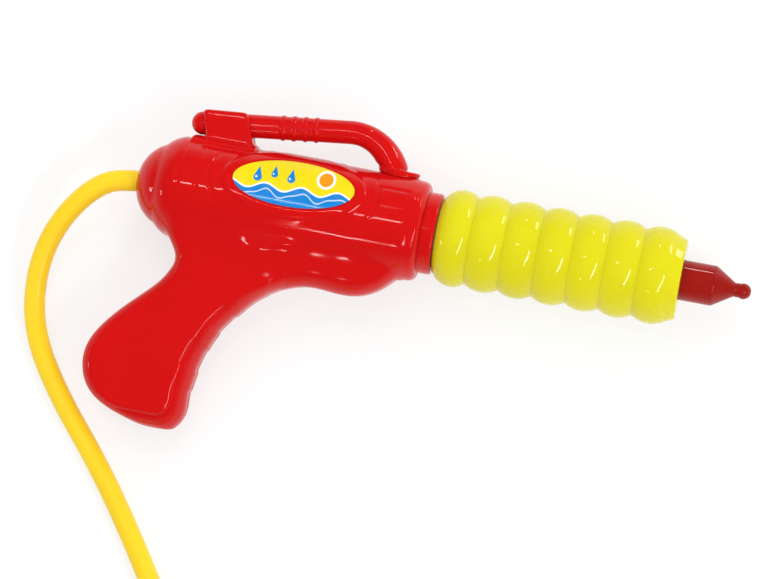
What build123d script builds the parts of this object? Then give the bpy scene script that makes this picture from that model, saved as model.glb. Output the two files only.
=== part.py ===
from build123d import *
import math
import os

os.makedirs("parts", exist_ok=True)

# The squirter is modelled with its barrel along X, the carry bar towards +Y and its
# right side towards +Z. The last step lays it on its left side, with +Z up.
# All lengths are in millimetres.

# Barrel housing, in two half shells that part in the plane Z = 0
barrel_radius = 24.2
barrel_length = 136.8
barrel_front_round = 4.0
barrel_front_step = 0.7
barrel_front_step_back = 6.8
shell_wall = 2.2
dome_length = 20.0
dome_cap_length = 11.0
dome_cap_radius = 18.8
dome_cap_middle_x = 4.0
dome_cap_middle_radius = 13.4
dome_step = 0.9
dome_shoulder_drop = 1.7
dome_shoulder_back = 4.4
hose_hole_gap = 0.3

# Handle, as level slices: height, rear edge, front edge and half width
handle_slices = (
    (-12.0, 20.5, 92.0, 20.2),
    (-20.0, 18.6, 90.0, 17.6),
    (-27.0, 22.8, 88.0, 16.0),
    (-33.0, 25.4, 84.0, 15.5),
    (-38.0, 24.0, 77.0, 15.2),
    (-44.0, 20.4, 67.3, 15.0),
    (-54.0, 10.8, 57.7, 15.0),
    (-67.0, -1.2, 48.9, 15.0),
    (-80.0, -8.3, 44.6, 15.0),
    (-92.0, -8.0, 42.4, 15.0),
    (-101.0, -2.8, 42.6, 14.5),
    (-107.0, 6.2, 41.2, 12.8),
    (-110.8, 16.5, 38.6, 9.5),
    (-112.5, 24.0, 34.5, 4.0),
)
handle_rear_round = 7.0
handle_front_round = 12.0
handle_inside_slices = 12
handle_lying_slice = 10

# Raised finger pads on the front of the handle, as their corners seen from the right side
finger_pads = (
    ((45.8, -38.9), (49.2, -44.9), (57.7, -55.3), (66.0, -62.0), (78.0, -50.0), (70.2, -42.6), (72.6, -32.5)),
    ((36.5, -53.1), (32.6, -58.5), (33.0, -62.6), (46.6, -72.7), (55.0, -78.0), (60.0, -68.0), (50.9, -64.2)),
    ((28.1, -74.6), (26.8, -80.2), (27.6, -84.6), (42.3, -92.5), (52.0, -94.0), (52.0, -84.0), (43.2, -83.4)),
)
finger_pad_height = 0.7
finger_pad_round = 1.5

# Fairing under the barrel, as slices across it: distance behind the barrel's front,
# lowest height and half width above the rounded belly
fairing_slices = (
    (96.8, -36.0, 14.0),
    (78.8, -38.0, 14.2),
    (68.8, -40.0, 14.6),
    (62.8, -39.4, 15.0),
    (54.8, -36.4, 15.4),
    (46.8, -34.9, 15.4),
    (32.8, -35.7, 15.4),
    (21.8, -33.9, 15.4),
    (13.8, -29.0, 15.4),
    (7.8, -23.0, 15.4),
)
fairing_half_width = 23.4
fairing_top = 5.0
fairing_flare_radius = 130.0
fairing_belly_round = 11.5

# Raised oval on the right side and its label
label_centre_x = 75.4
label_centre_y = 10.5
label_half_length = 28.4
label_half_width = 10.7
label_tilt = 2.0
label_thickness = 0.4
oval_rim_width = 5.0
oval_rim_height = 0.8

# Fine grooves in the barrel: two rings over its rear, a wide oval and a small front panel
groove_places = (21.2, 25.6)
groove_width = 0.9
groove_depth = 0.35
groove_low = -8.0
wide_oval_half_length = 40.0
wide_oval_half_width = 26.0
front_panel_length = 14.0
front_panel_width = 10.0
front_panel_back = 15.0
front_panel_height = 12.0

# Carry bar, its rear bracket and its front foot
bar_radius = 5.5
bar_start = 25.5
bar_start_height = 31.5
bar_slope = 6.6
bar_end_back = 17.3
bar_corner_back = 25.5
bar_bend_radius = 22.0
bar_end_height = 19.5
bar_seat_gap = 0.05
bar_ring_count = 4
bar_ring_first = 63.0
bar_ring_pitch = 5.2
bar_ring_height = 0.5
bar_neck_radius = 4.6
bar_neck_width = 4.0
bar_neck_place = 36.0
bar_ring_width = 1.6
bracket_rear_x = 25.0
bracket_front_x = 46.6
bracket_rear_lean = 5.5
bracket_front_lean = 6.4
bracket_root = 4.2
bracket_rear_top = 37.9
bracket_top = 39.6
bracket_half_width = 8.0
bracket_edge_round = 1.6
bracket_front_chamfer = 1.8
bracket_front_drop = 0.8
bracket_foot_start = 22.6
bracket_foot_height = 1.6
bracket_foot_overhang = 3.0
foot_half_length = 9.5
foot_half_width = 8.0
foot_height = 1.9
foot_forward = 1.0
foot_root = 3.0
flare_start = 5.5
flare_length = 12.0
flare_radius = 6.8

# Screws that hold the half shells together
screw_places = ((30.0, 15.0), (104.0, 19.8), (110.0, -25.5), (47.0, -38.0), (20.0, -74.0), (17.0, -98.0))
screw_shank_radius = 1.5
screw_head_radius = 2.8
screw_head_height = 2.0
screw_seat_depth = 6.0
screw_bite = 8.0
screw_gap = 0.05
screw_head_gap = 0.4
boss_wall = 1.1
blind_boss_wall = 2.1
screw_hole_spare = 1.0
screw_recess_width = 0.9
screw_recess_depth = 1.0
screw_recess_margin = 0.8

# Front guide, the ring that the pump cylinder slides through
guide_lip_radius = 19.0
guide_lip_length = 6.2
guide_lip_round = 1.3
guide_neck_radius = 17.4
guide_flange_radius = 18.6
guide_flange_length = 3.0
guide_seat_gap = 0.05
running_gap = 0.08

# Pump cylinder with its key, and the end cap that stops it
cylinder_radius = 14.0
cylinder_bore = 12.0
stop_gap = 0.4
cap_rear_gap = 1.15
cap_flange_radius = 15.2
cap_flange_length = 5.0
cap_spigot_length = 6.0
key_width = 3.0
key_height = 1.2
key_gap = 0.3

# Ribbed sleeve
sleeve_rib_count = 7
sleeve_rib_pitch = 15.75
sleeve_rib_radius = 22.7
sleeve_crease_radius = 20.3
sleeve_rest_gap = 0.5
sleeve_rear_radius = 17.1
sleeve_front_radius = 19.0
sleeve_front_length = 4.0
sleeve_front_bevel = 1.0
sleeve_front_drop = 0.6
sleeve_wall = 2.4
sleeve_end_wall = 3.2
sleeve_front_wall = 3.7
lock_ring_radius = 16.8
lock_ring_length = 2.0
lock_groove_depth = 0.8

# Nozzle
nozzle_radius = 9.4
nozzle_flange_length = 4.0
nozzle_flange_gap = 0.1
nozzle_spigot_length = 6.0
nozzle_tube_length = 15.25
nozzle_cone_length = 10.2
nozzle_bead_length = 7.2
nozzle_neck_radius = 2.9
nozzle_tip_radius = 3.7
nozzle_bead_chamfer = 0.6
nozzle_bead_round = 2.2
nozzle_jet_radius = 1.1
nozzle_jet_lip = 0.4
nozzle_seal_place = 2.0
seal_thickness = 2.0
seal_depth = 1.6
seal_gap = 0.05

# Outlet valve inside the nozzle
outlet_seat_radius = 7.9
outlet_seat_hole = 3.0
outlet_seat_length = 6.0
outlet_ball_radius = 4.0
outlet_chamber_radius = 5.4
outlet_chamber_back = 3.0
outlet_spring_wire = 0.4
outlet_spring_radius = 3.0
outlet_spring_turns = 5
ball_gap = 0.1

# Piston and its hollow rod
rod_radius = 5.0
rod_bore = 2.6
piston_length = 12.0
piston_front_gap = 4.0
piston_socket_depth = 8.0
piston_seal_place = 3.0
rod_in_valve = 6.0
rod_slot_width = 1.6
rod_slot_depth = 3.0
rod_seat_gap = 0.05

# Inlet valve body with its hose barb
inlet_flange_start = 22.0
inlet_flange_length = 3.0
inlet_flange_radius = 13.0
inlet_body_radius = 8.5
inlet_body_end = 39.0
inlet_bore = 2.2
inlet_ball_radius = 3.6
inlet_seat_place = 24.0
barb_start = 5.0
barb_end = 19.0
barb_radius = 3.3
barb_ridge_height = 0.08
barb_ridge_count = 3
barb_ridge_length = 2.8
rib_thickness = 2.0
rib_gap = 0.05

# Supply hose, its clip, the stored coil and the tank connector
hose_diameter = 10.0
hose_bore_radius = 3.4
clip_width = 6.0
clip_thickness = 1.1
clip_gap = 0.05
clip_ear_height = 3.2
clip_slot = 1.4
clip_place = 9.0
coil_radius = 52.0
coil_sweep = 433.5
coil_start_angle = 207.0
coil_centre = (125.8, -232.2)
coil_stub = 36.0
coil_climb_angle = 50.0
coil_corner = 4.9
connector_radius = 8.0
connector_length = 26.0
connector_cap_radius = 11.0
connector_cap_length = 12.0
connector_cap_ribs = 20
connector_spigot_length = 8.0
connector_bore = 4.5
connector_bore_depth = 14.0
connector_seal_length = 2.0
connector_seal_radius = 4.0
connector_edge_round = 1.0
connector_notch_depth = 0.6
connector_notch_width = 1.4
connector_notch_margin = 2.0

# Route of the hose from the barrel to the coil: along, across, and height over the floor
hose_route = (
    (18.5, 0.0, 24.2),
    (-6.5, 0.0, 24.2),
    (-20.9, -7.5, 22.6),
    (-35.0, -26.1, 16.5),
    (-41.5, -49.3, 10.0),
    (-38.0, -77.0, 5.6),
    (-20.5, -104.5, 5.0),
    (6.0, -134.5, 5.0),
    (31.9, -170.1, 5.0),
)
hose_approach = 24.0

# Route of the hose from the coil to the tank connector
hose_departure = 18.0
hose_end_route = (
    (206.0, -268.5, 12.4),
    (222.0, -262.5, 11.0),
    (236.0, -255.5, 11.0),
)

# Sizes that follow from the ones above
shell_front_inside = barrel_length - shell_wall
guide_rear = shell_front_inside - guide_flange_length - guide_seat_gap
guide_front = barrel_length + guide_lip_length
cap_flange_rear = inlet_body_end + cap_rear_gap
cap_flange_front = cap_flange_rear + cap_flange_length
pump_stroke = guide_rear - stop_gap - cap_flange_front
sleeve_rear = guide_front + sleeve_rest_gap
sleeve_front = sleeve_rear + sleeve_rib_count * sleeve_rib_pitch + sleeve_front_length
nozzle_flange_front = sleeve_front - sleeve_front_wall - rod_seat_gap
cylinder_front = nozzle_flange_front - nozzle_flange_length
nozzle_spigot_rear = cylinder_front - nozzle_spigot_length
nozzle_tube_end = sleeve_front + nozzle_tube_length
nozzle_cone_end = nozzle_tube_end + nozzle_cone_length
nozzle_tip_end = nozzle_cone_end + nozzle_bead_length
outlet_chamber_end = nozzle_tube_end - outlet_chamber_back
piston_front = nozzle_spigot_rear - piston_front_gap
piston_rear = piston_front - piston_length
rod_start = inlet_body_end - rod_in_valve
bar_end_x = barrel_length - bar_end_back
bar_corner_x = barrel_length - bar_corner_back
hose_radius = hose_diameter / 2
print("pump stroke", round(pump_stroke, 3))


def ring(inner, outer, start, end):
    """A plain ring round the barrel axis."""
    profile = make_face(Polyline((start, inner), (end, inner), (end, outer), (start, outer), close=True))
    return revolve(profile, Axis.X)


def rod_along_x(radius, start, end):
    """A round bar on the barrel axis."""
    return Plane.YZ.offset(start) * extrude(Circle(radius), end - start)


def barrel_form(inset):
    """The barrel and its rear dome, drawn in by a wall thickness."""
    slant = math.hypot(dome_cap_length, dome_cap_radius)
    cap_top = dome_cap_radius - inset
    cap_middle = (
        dome_cap_middle_x + inset * dome_cap_radius / slant,
        dome_cap_middle_radius - inset * dome_cap_length / slant,
    )
    step_end = (dome_cap_length + dome_step, cap_top + dome_step)
    side = barrel_radius - inset
    shoulder_middle = (dome_length - dome_shoulder_back, side - dome_shoulder_drop)
    front = barrel_length - inset
    front_side = side - barrel_front_step
    front_edge = barrel_front_round - inset
    cap = ThreePointArc((inset, 0.0), cap_middle, (dome_cap_length, cap_top))
    shoulder = ThreePointArc(step_end, shoulder_middle, (dome_length, side))
    front_step = barrel_length - barrel_front_step_back
    sides = Polyline(
        (dome_length, side),
        (front_step, side),
        (front_step + barrel_front_step, front_side),
        (front - front_edge, front_side),
    )
    nose = RadiusArc((front - front_edge, front_side), (front, front_side - front_edge), front_edge)
    face = Polyline((front, front_side - front_edge), (front, 0.0), (inset, 0.0))
    step = Line((dome_cap_length, cap_top), step_end)
    return revolve(make_face([cap, step, shoulder, sides, nose, face]), Axis.X)


def handle_section(height, rear, front, half_width, inset):
    """One level slice of the handle, with a fuller rounding at the front."""
    half = half_width - inset
    back = rear + inset
    nose = front - inset
    rear_round = min(handle_rear_round - inset, half - 0.6)
    front_round = min(handle_front_round - inset, half - 0.5)
    right = Line((back + rear_round, half), (nose - front_round, half))
    nose_right = RadiusArc((nose - front_round, half), (nose, half - front_round), front_round)
    nose_face = Line((nose, half - front_round), (nose, front_round - half))
    nose_left = RadiusArc((nose, front_round - half), (nose - front_round, -half), front_round)
    left = Line((nose - front_round, -half), (back + rear_round, -half))
    back_left = RadiusArc((back + rear_round, -half), (back, rear_round - half), rear_round)
    back_face = Line((back, rear_round - half), (back, half - rear_round))
    back_right = RadiusArc((back, half - rear_round), (back + rear_round, half), rear_round)
    edges = [right, nose_right, nose_face, nose_left, left, back_left, back_face, back_right]
    plane = Plane(origin=(0, height, 0), x_dir=(1, 0, 0), z_dir=(0, -1, 0))
    return plane * make_face(edges)


def handle_form(inset):
    """The handle, lofted down through its level slices."""
    slices = handle_slices[:handle_inside_slices] if inset else handle_slices
    return loft([handle_section(*values, inset) for values in slices])


def finger_pad_form():
    """The raised pads that wrap round the front of the handle."""
    swollen = handle_form(-finger_pad_height)
    pads = []
    for corners in finger_pads:
        outline = make_face(Polyline(*corners, close=True))
        outline = fillet(outline.vertices(), finger_pad_round)
        pads.append(swollen & Pos(0, 0, -barrel_radius) * extrude(outline, 2 * barrel_radius))
    return pads


def fairing_section(back, low, low_half, inset):
    """One slice of the fairing across the barrel, wide at the barrel and round below."""
    wide = fairing_half_width - inset
    half = low_half - inset
    belly = fairing_belly_round - inset
    bottom = low + inset
    right = RadiusArc((wide, -fairing_top), (half, bottom + belly), -fairing_flare_radius)
    right_round = RadiusArc((half, bottom + belly), (half - belly, bottom), belly)
    floor_line = Line((half - belly, bottom), (belly - half, bottom))
    left_round = RadiusArc((belly - half, bottom), (-half, bottom + belly), belly)
    left = RadiusArc((-half, bottom + belly), (-wide, -fairing_top), -fairing_flare_radius)
    top = Line((-wide, -fairing_top), (wide, -fairing_top))
    plane = Plane(origin=(barrel_length - back, 0, 0), x_dir=(0, 0, 1), z_dir=(-1, 0, 0))
    return plane * make_face([right, right_round, floor_line, left_round, left, top])


def fairing_form(inset):
    """The fairing under the front of the barrel."""
    return loft([fairing_section(*values, inset) for values in fairing_slices])


def housing_form(inset):
    """The barrel, fairing and handle as one form."""
    return barrel_form(inset) + fairing_form(inset) + handle_form(inset)


def oval_prism(half_length, half_width):
    """An upright prism over the label's oval, on the right side only."""
    oval = Pos(label_centre_x, label_centre_y) * Rot(0, 0, label_tilt) * Ellipse(half_length, half_width)
    return extrude(oval, barrel_radius * 2)


def label_skin(gap):
    """The thin curved sheet that the label is, with a gap all round for its pocket."""
    top = barrel_radius + oval_rim_height
    skin = ring(top - label_thickness - gap, top + gap, 0.0, barrel_length)
    return skin & oval_prism(label_half_length + gap, label_half_width + gap)


def oval_pad():
    """The raised oval that carries the label."""
    pad = ring(barrel_radius - shell_wall, barrel_radius + oval_rim_height, 0.0, barrel_length)
    return pad & oval_prism(label_half_length + oval_rim_width, label_half_width + oval_rim_width)


def fine_grooves(side):
    """The thin grooves in the barrel's skin; the wide oval and the panel are on the right side only."""
    skin = ring(barrel_radius - groove_depth, barrel_radius + groove_depth, 0.0, barrel_length)
    upper = Pos(0, groove_low, -barrel_radius * 2) * Box(
        barrel_length, barrel_radius * 2, barrel_radius * 4, align=Align.MIN
    )
    grooves = []
    for place in groove_places:
        line = ring(barrel_radius - groove_depth, barrel_radius + groove_depth, place, place + groove_width)
        grooves.append(line & upper)
    if side > 0:
        wide = oval_prism(wide_oval_half_length, wide_oval_half_width)
        wide -= oval_prism(wide_oval_half_length - groove_width, wide_oval_half_width - groove_width)
        grooves.append(wide & skin & upper)
        panel = Rectangle(front_panel_length, front_panel_width)
        panel -= Rectangle(front_panel_length - 2 * groove_width, front_panel_width - 2 * groove_width)
        panel = Pos(barrel_length - front_panel_back, front_panel_height) * panel
        grooves.append(extrude(panel, barrel_radius * 2) & skin)
    return grooves


def bar_core(gap):
    """The round bar with its domed rear end, from the bracket to its end in the housing."""
    corner_rise = (bar_corner_x - bar_start) * math.tan(math.radians(bar_slope))
    start = (bar_start, bar_start_height)
    corner = (bar_corner_x, bar_start_height + corner_rise)
    path = FilletPolyline(start, corner, (bar_end_x, bar_end_height), radius=bar_bend_radius)
    section = bar_plane(bar_start) * Circle(bar_radius + gap)
    return sweep(section, path) + Pos(*start) * Sphere(bar_radius + gap)


def bar_plane(place):
    """The plane across the straight of the carry bar at a place along the barrel."""
    slope = math.radians(bar_slope)
    height = bar_start_height + (place - bar_start) * math.tan(slope)
    return Plane(origin=(place, height, 0), z_dir=(math.cos(slope), math.sin(slope), 0))


def bar_collar(place, inner, outer, width):
    """A ring round the straight of the carry bar."""
    profile = Circle(outer) - Circle(inner)
    return bar_plane(place) * Pos(0, 0, -width / 2) * extrude(profile, width)


def foot_plate():
    """The oval foot of the carry bar with its flare, hollowed below to sit on the barrel."""
    level = Plane(origin=(bar_end_x + foot_forward, barrel_radius - foot_root, 0), x_dir=(1, 0, 0), z_dir=(0, 1, 0))
    plate = level * extrude(Ellipse(foot_half_length, foot_half_width), foot_height + foot_root)
    corner_rise = (bar_corner_x - bar_start) * math.tan(math.radians(bar_slope))
    rise = Vector(bar_corner_x, bar_start_height + corner_rise, 0) - Vector(bar_end_x, bar_end_height, 0)
    across = Plane(origin=(bar_end_x, bar_end_height, 0), x_dir=(0, 0, 1), z_dir=rise.normalized())
    flare = across * Pos(0, 0, flare_start) * Cone(
        flare_radius, bar_radius, flare_length, align=(Align.CENTER, Align.CENTER, Align.MIN)
    )
    return plate + flare - rod_along_x(barrel_radius + bar_seat_gap, bar_start, barrel_length)


def carry_bar():
    """The carry bar with its rings, its neck in the bracket and its foot."""
    bar = bar_core(0.0) + foot_plate()
    for count in range(bar_ring_count):
        place = bar_ring_first + count * bar_ring_pitch
        bar += bar_collar(place, bar_radius - bar_ring_height, bar_radius + bar_ring_height, bar_ring_width)
    return bar - bar_collar(bar_neck_place, bar_neck_radius, 2 * bar_radius, bar_neck_width)


def bracket():
    """The block on the barrel that the rear of the carry bar is held in."""
    root = barrel_radius - bracket_root
    foot_end = bracket_front_x + bracket_front_lean
    side = make_face(
        Polyline(
            (bracket_rear_x + bracket_rear_lean, root),
            (bracket_rear_x, bracket_rear_top),
            (bracket_front_x - bracket_front_chamfer, bracket_top),
            (bracket_front_x, bracket_top - bracket_front_drop),
            (foot_end, root),
            close=True,
        )
    )
    block = Pos(0, 0, -bracket_half_width) * extrude(side, 2 * bracket_half_width)
    high_edges = [edge for edge in block.edges() if edge.bounding_box().max.Y > barrel_radius + bar_radius]
    block = fillet(high_edges, bracket_edge_round)
    saddle = ring(barrel_radius - 1.0, barrel_radius + bracket_foot_height, bracket_foot_start, foot_end)
    middle = Pos((bracket_foot_start + foot_end) / 2, barrel_radius, 0)
    saddle_width = 2 * (bracket_half_width + bracket_foot_overhang)
    return block + (saddle & middle * Box(foot_end - bracket_foot_start, barrel_radius, saddle_width))


def bar_pocket():
    """The space that the carry bar fills in the housing, with the rib that enters its neck."""
    rib_width = bar_neck_width - 2 * bar_seat_gap
    rib = bar_collar(bar_neck_place, bar_neck_radius + bar_seat_gap, 2 * bar_radius, rib_width)
    return bar_core(bar_seat_gap) - rib


def screw_boss(place, radius, reach, form):
    """A post for one screw, from the parting plane outwards and within the outside of the housing."""
    return Pos(*place, 0) * extrude(Circle(radius), reach) & form


def half_shell(side, form, hollow):
    """One half of the housing: side is 1 for the right half and -1 for the left half."""
    shell = form - hollow
    for groove in fine_grooves(side):
        shell -= groove
    low = inlet_flange_start - rib_gap - rib_thickness
    high = inlet_flange_start + inlet_flange_length + rib_gap
    for start in (low, high):
        shell += ring(inlet_body_radius + rib_gap, barrel_radius - shell_wall / 2, start, start + rib_thickness)
    shell += bracket()
    shell -= rod_along_x(hose_radius + hose_hole_gap, -shell_wall, dome_length / 2)
    shell -= rod_along_x(guide_neck_radius + guide_seat_gap, barrel_length - 2 * shell_wall, barrel_length + shell_wall)
    shell -= bar_pocket()
    for post in screw_places:
        shell += shell_post(side, post, form)
    reach = 2 * barrel_length
    shell = shell & Pos(0, 0, side * reach / 2) * Box(2 * reach, 2 * reach, reach)
    for post in screw_places:
        shell -= screw_hole(side, post)
    return shell


def shell_post(side, place, form):
    """The post round one screw, within the outside of the housing."""
    blind = screw_shank_radius + blind_boss_wall
    recessed = screw_head_radius + screw_head_gap + boss_wall
    return screw_boss(place, blind if side > 0 else recessed, side * barrel_radius, form)


def screw_hole(side, place):
    """The hole for one screw: blind in the right half, stepped for the head in the left half."""
    shank = Circle(screw_shank_radius + screw_gap)
    if side > 0:
        return Pos(*place, 0) * extrude(shank, screw_bite + screw_hole_spare)
    head = Circle(screw_head_radius + screw_head_gap)
    depth = 2 * barrel_radius
    head_hole = Pos(*place, -depth) * extrude(head, depth - screw_seat_depth)
    return head_hole + Pos(*place, -depth) * extrude(shank, depth)


def shell_screws():
    """The screws, driven from the left side."""
    screws = []
    for x, y in screw_places:
        shank = Pos(x, y, -screw_seat_depth) * extrude(Circle(screw_shank_radius), screw_seat_depth + screw_bite)
        head = Pos(x, y, -screw_seat_depth) * extrude(Circle(screw_head_radius), -screw_head_height)
        head_top = -screw_seat_depth - screw_head_height
        cross_length = 2 * (screw_head_radius - screw_recess_margin)
        cross = Box(cross_length, screw_recess_width, 2 * screw_recess_depth)
        cross += Box(screw_recess_width, cross_length, 2 * screw_recess_depth)
        screws.append(head + shank - Pos(x, y, head_top) * cross)
    return Compound(screws)


def front_guide():
    """The ring in the front of the housing that the pump cylinder slides through."""
    bore = cylinder_radius + running_gap
    lip = ring(bore, guide_lip_radius, barrel_length, guide_front)
    edge = lip.edges().filter_by(GeomType.CIRCLE).sort_by(Edge.length)[-2:].sort_by(Axis.X)[-1]
    lip = fillet(edge, guide_lip_round)
    neck = ring(bore, guide_neck_radius, shell_front_inside, barrel_length)
    flange = ring(bore, guide_flange_radius, guide_rear, shell_front_inside - guide_seat_gap)
    neck_back = ring(bore, guide_neck_radius, guide_rear, shell_front_inside)
    key_way = Pos((guide_rear + guide_front) / 2, -cylinder_radius, 0) * Box(
        2 * (guide_front - guide_rear), 2 * (key_height + key_gap), key_width + 2 * key_gap
    )
    return lip + neck + neck_back + flange - key_way


def pump_cylinder():
    """The moving tube, with the key that keeps it from turning."""
    tube = ring(cylinder_bore, cylinder_radius, cap_flange_front, cylinder_front)
    key = Pos(cap_flange_front, -cylinder_radius - key_height, 0) * Box(
        sleeve_rear - cap_flange_front,
        2 * key_height,
        key_width,
        align=(Align.MIN, Align.MIN, Align.CENTER),
    )
    tube += key
    start = sleeve_rear + sleeve_end_wall
    groove_bottom = cylinder_radius - lock_groove_depth
    groove = ring(groove_bottom, 2 * cylinder_radius, start, start + lock_ring_length + 2 * rod_seat_gap)
    return tube - groove


def cylinder_end_cap():
    """The cap in the rear of the cylinder, whose flange is the forward stop."""
    bore = rod_radius + running_gap
    flange = ring(bore, cap_flange_radius, cap_flange_rear, cap_flange_front)
    return flange + ring(bore, cylinder_bore - seal_gap, cap_flange_front, cap_flange_front + cap_spigot_length)


def pump_sleeve():
    """The ribbed sleeve that the hand holds, hollow round the cylinder."""
    edges = []
    rear_edge = (sleeve_rear, sleeve_rear_radius)
    crease = rear_edge
    for count in range(sleeve_rib_count):
        start = sleeve_rear + count * sleeve_rib_pitch
        end = (start + sleeve_rib_pitch, sleeve_crease_radius)
        middle = (start + sleeve_rib_pitch / 2, sleeve_rib_radius)
        edges.append(ThreePointArc(crease, middle, end))
        crease = end
    front_edge = (sleeve_front, sleeve_front_radius - sleeve_front_drop)
    edges.append(Polyline(crease, (sleeve_front - sleeve_front_bevel, sleeve_front_radius), front_edge))
    front_bore = nozzle_radius + rod_seat_gap
    rear_bore = cylinder_radius + rod_seat_gap
    inside = sleeve_crease_radius - sleeve_wall
    cavity_start = sleeve_rear + sleeve_end_wall
    cavity_end = nozzle_flange_front + rod_seat_gap
    inner = Polyline(
        front_edge,
        (sleeve_front, front_bore),
        (cavity_end, front_bore),
        (cavity_end, inside),
        (cavity_start, inside),
        (cavity_start, rear_bore),
        (sleeve_rear, rear_bore),
        rear_edge,
    )
    return revolve(make_face(edges + [inner]), Axis.X)


def sleeve_lock_ring():
    """The ring in the cylinder's groove that keeps the sleeve on it."""
    start = sleeve_rear + sleeve_end_wall + rod_seat_gap
    inner = cylinder_radius - lock_groove_depth + rod_seat_gap
    return ring(inner, lock_ring_radius, start, start + lock_ring_length)


def nozzle():
    """The nozzle, with its flange and spigot on the cylinder and its valve chamber inside."""
    spigot = cylinder_bore - seal_gap
    flange = cylinder_radius - nozzle_flange_gap
    seat_pocket = outlet_seat_radius + rod_seat_gap
    seat_front = nozzle_spigot_rear + outlet_seat_length
    rear_edge = (nozzle_spigot_rear, seat_pocket)
    bead_edge = (nozzle_tip_end - nozzle_bead_round, nozzle_tip_radius)
    bead_middle = (nozzle_tip_end - nozzle_bead_chamfer, nozzle_tip_radius - nozzle_bead_chamfer)
    tip_edge = (nozzle_tip_end, nozzle_jet_radius + nozzle_jet_lip)
    outside = Polyline(
        rear_edge,
        (nozzle_spigot_rear, spigot),
        (cylinder_front, spigot),
        (cylinder_front, flange),
        (nozzle_flange_front, flange),
        (nozzle_flange_front, nozzle_radius),
        (nozzle_tube_end, nozzle_radius),
        (nozzle_cone_end, nozzle_neck_radius),
        (nozzle_cone_end + nozzle_bead_chamfer, nozzle_tip_radius),
        bead_edge,
    )
    bead_round = ThreePointArc(bead_edge, bead_middle, tip_edge)
    inside = Polyline(
        tip_edge,
        (nozzle_tip_end, nozzle_jet_radius),
        (outlet_chamber_end, nozzle_jet_radius),
        (outlet_chamber_end, outlet_chamber_radius),
        (seat_front, outlet_chamber_radius),
        (seat_front, seat_pocket),
        rear_edge,
    )
    body = revolve(make_face([outside, bead_round, inside]), Axis.X)
    start = nozzle_spigot_rear + nozzle_seal_place
    return body - ring(cylinder_bore - seal_depth, cylinder_radius, start, start + seal_thickness + 2 * seal_gap)


def nozzle_seal():
    """The ring between the nozzle's spigot and the cylinder."""
    start = nozzle_spigot_rear + nozzle_seal_place + seal_gap
    return ring(cylinder_bore - seal_depth + seal_gap, cylinder_bore - seal_gap, start, start + seal_thickness)


def outlet_valve_seat():
    """The ring that the outlet ball closes."""
    end = nozzle_spigot_rear + outlet_seat_length - rod_seat_gap
    return ring(outlet_seat_hole, outlet_seat_radius, nozzle_spigot_rear, end)


def seated_ball(seat_place, hole_radius, ball_radius):
    """A ball that rests in the mouth of a round hole, on its forward side."""
    reach = math.sqrt(ball_radius**2 - hole_radius**2)
    return Pos(seat_place + reach + ball_gap, 0, 0) * Sphere(ball_radius)


def outlet_valve_ball():
    """The ball that lets water out and not back in."""
    return seated_ball(nozzle_spigot_rear + outlet_seat_length, outlet_seat_hole, outlet_ball_radius)


def outlet_valve_spring():
    """The light coil spring between the outlet ball and the end of its chamber."""
    seat = nozzle_spigot_rear + outlet_seat_length
    reach = math.sqrt(outlet_ball_radius**2 - outlet_seat_hole**2)
    ball_contact = math.sqrt(outlet_ball_radius**2 - outlet_spring_radius**2)
    start = seat + reach + ball_contact + 2 * outlet_spring_wire + ball_gap
    length = outlet_chamber_end - outlet_spring_wire - ball_gap - start
    turn = Helix(pitch=length / outlet_spring_turns, height=length, radius=outlet_spring_radius)
    section = Plane(origin=turn @ 0, z_dir=turn % 0) * Circle(outlet_spring_wire)
    return Pos(start, 0, 0) * Rot(0, 90, 0) * sweep(section, turn)


def piston_rod():
    """The hollow rod that the piston stands on, slotted at its rear for the water."""
    tube = ring(rod_bore, rod_radius, rod_start, piston_rear + piston_socket_depth - rod_seat_gap)
    slot = Box(2 * rod_slot_depth, 4 * rod_radius, rod_slot_width)
    slot += Box(2 * rod_slot_depth, rod_slot_width, 4 * rod_radius)
    return tube - Pos(rod_start, 0, 0) * slot


def piston_head():
    """The piston, with a socket for its rod and a groove for its seal."""
    outside = cylinder_bore - running_gap
    back = ring(rod_radius + rod_seat_gap, outside, piston_rear, piston_rear + piston_socket_depth)
    front = ring(rod_bore, outside, piston_rear + piston_socket_depth, piston_front)
    start = piston_rear + piston_seal_place
    groove = ring(cylinder_bore - seal_depth, cylinder_radius, start, start + seal_thickness + 2 * seal_gap)
    return back + front - groove


def piston_seal():
    """The ring that seals the piston in the cylinder."""
    start = piston_rear + piston_seal_place + seal_gap
    return ring(cylinder_bore - seal_depth + seal_gap, cylinder_bore - seal_gap, start, start + seal_thickness)


def inlet_valve_body():
    """The body of the inlet valve, with the barb that the hose is pushed on."""
    chamber = rod_radius + rod_seat_gap
    flange_end = inlet_flange_start + inlet_flange_length
    body = ring(inlet_bore, inlet_body_radius, barb_end, inlet_seat_place)
    body += ring(chamber, inlet_body_radius, inlet_seat_place, inlet_body_end)
    body += ring((chamber + inlet_body_radius) / 2, inlet_flange_radius, inlet_flange_start, flange_end)
    body += ring(inlet_bore, barb_radius, barb_start, barb_end)
    ridge_pitch = (barb_end - barb_start) / (barb_ridge_count + 1)
    root = barb_radius - barb_ridge_height
    for count in range(barb_ridge_count):
        start = barb_start + (count + 0.5) * ridge_pitch
        end = start + barb_ridge_length
        profile = Polyline((start, root), (end, barb_radius + barb_ridge_height), (end, root), close=True)
        body += revolve(make_face(profile), Axis.X)
    return body


def inlet_valve_ball():
    """The ball that lets water in from the hose and not back."""
    return seated_ball(inlet_seat_place, inlet_bore, inlet_ball_radius)


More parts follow.
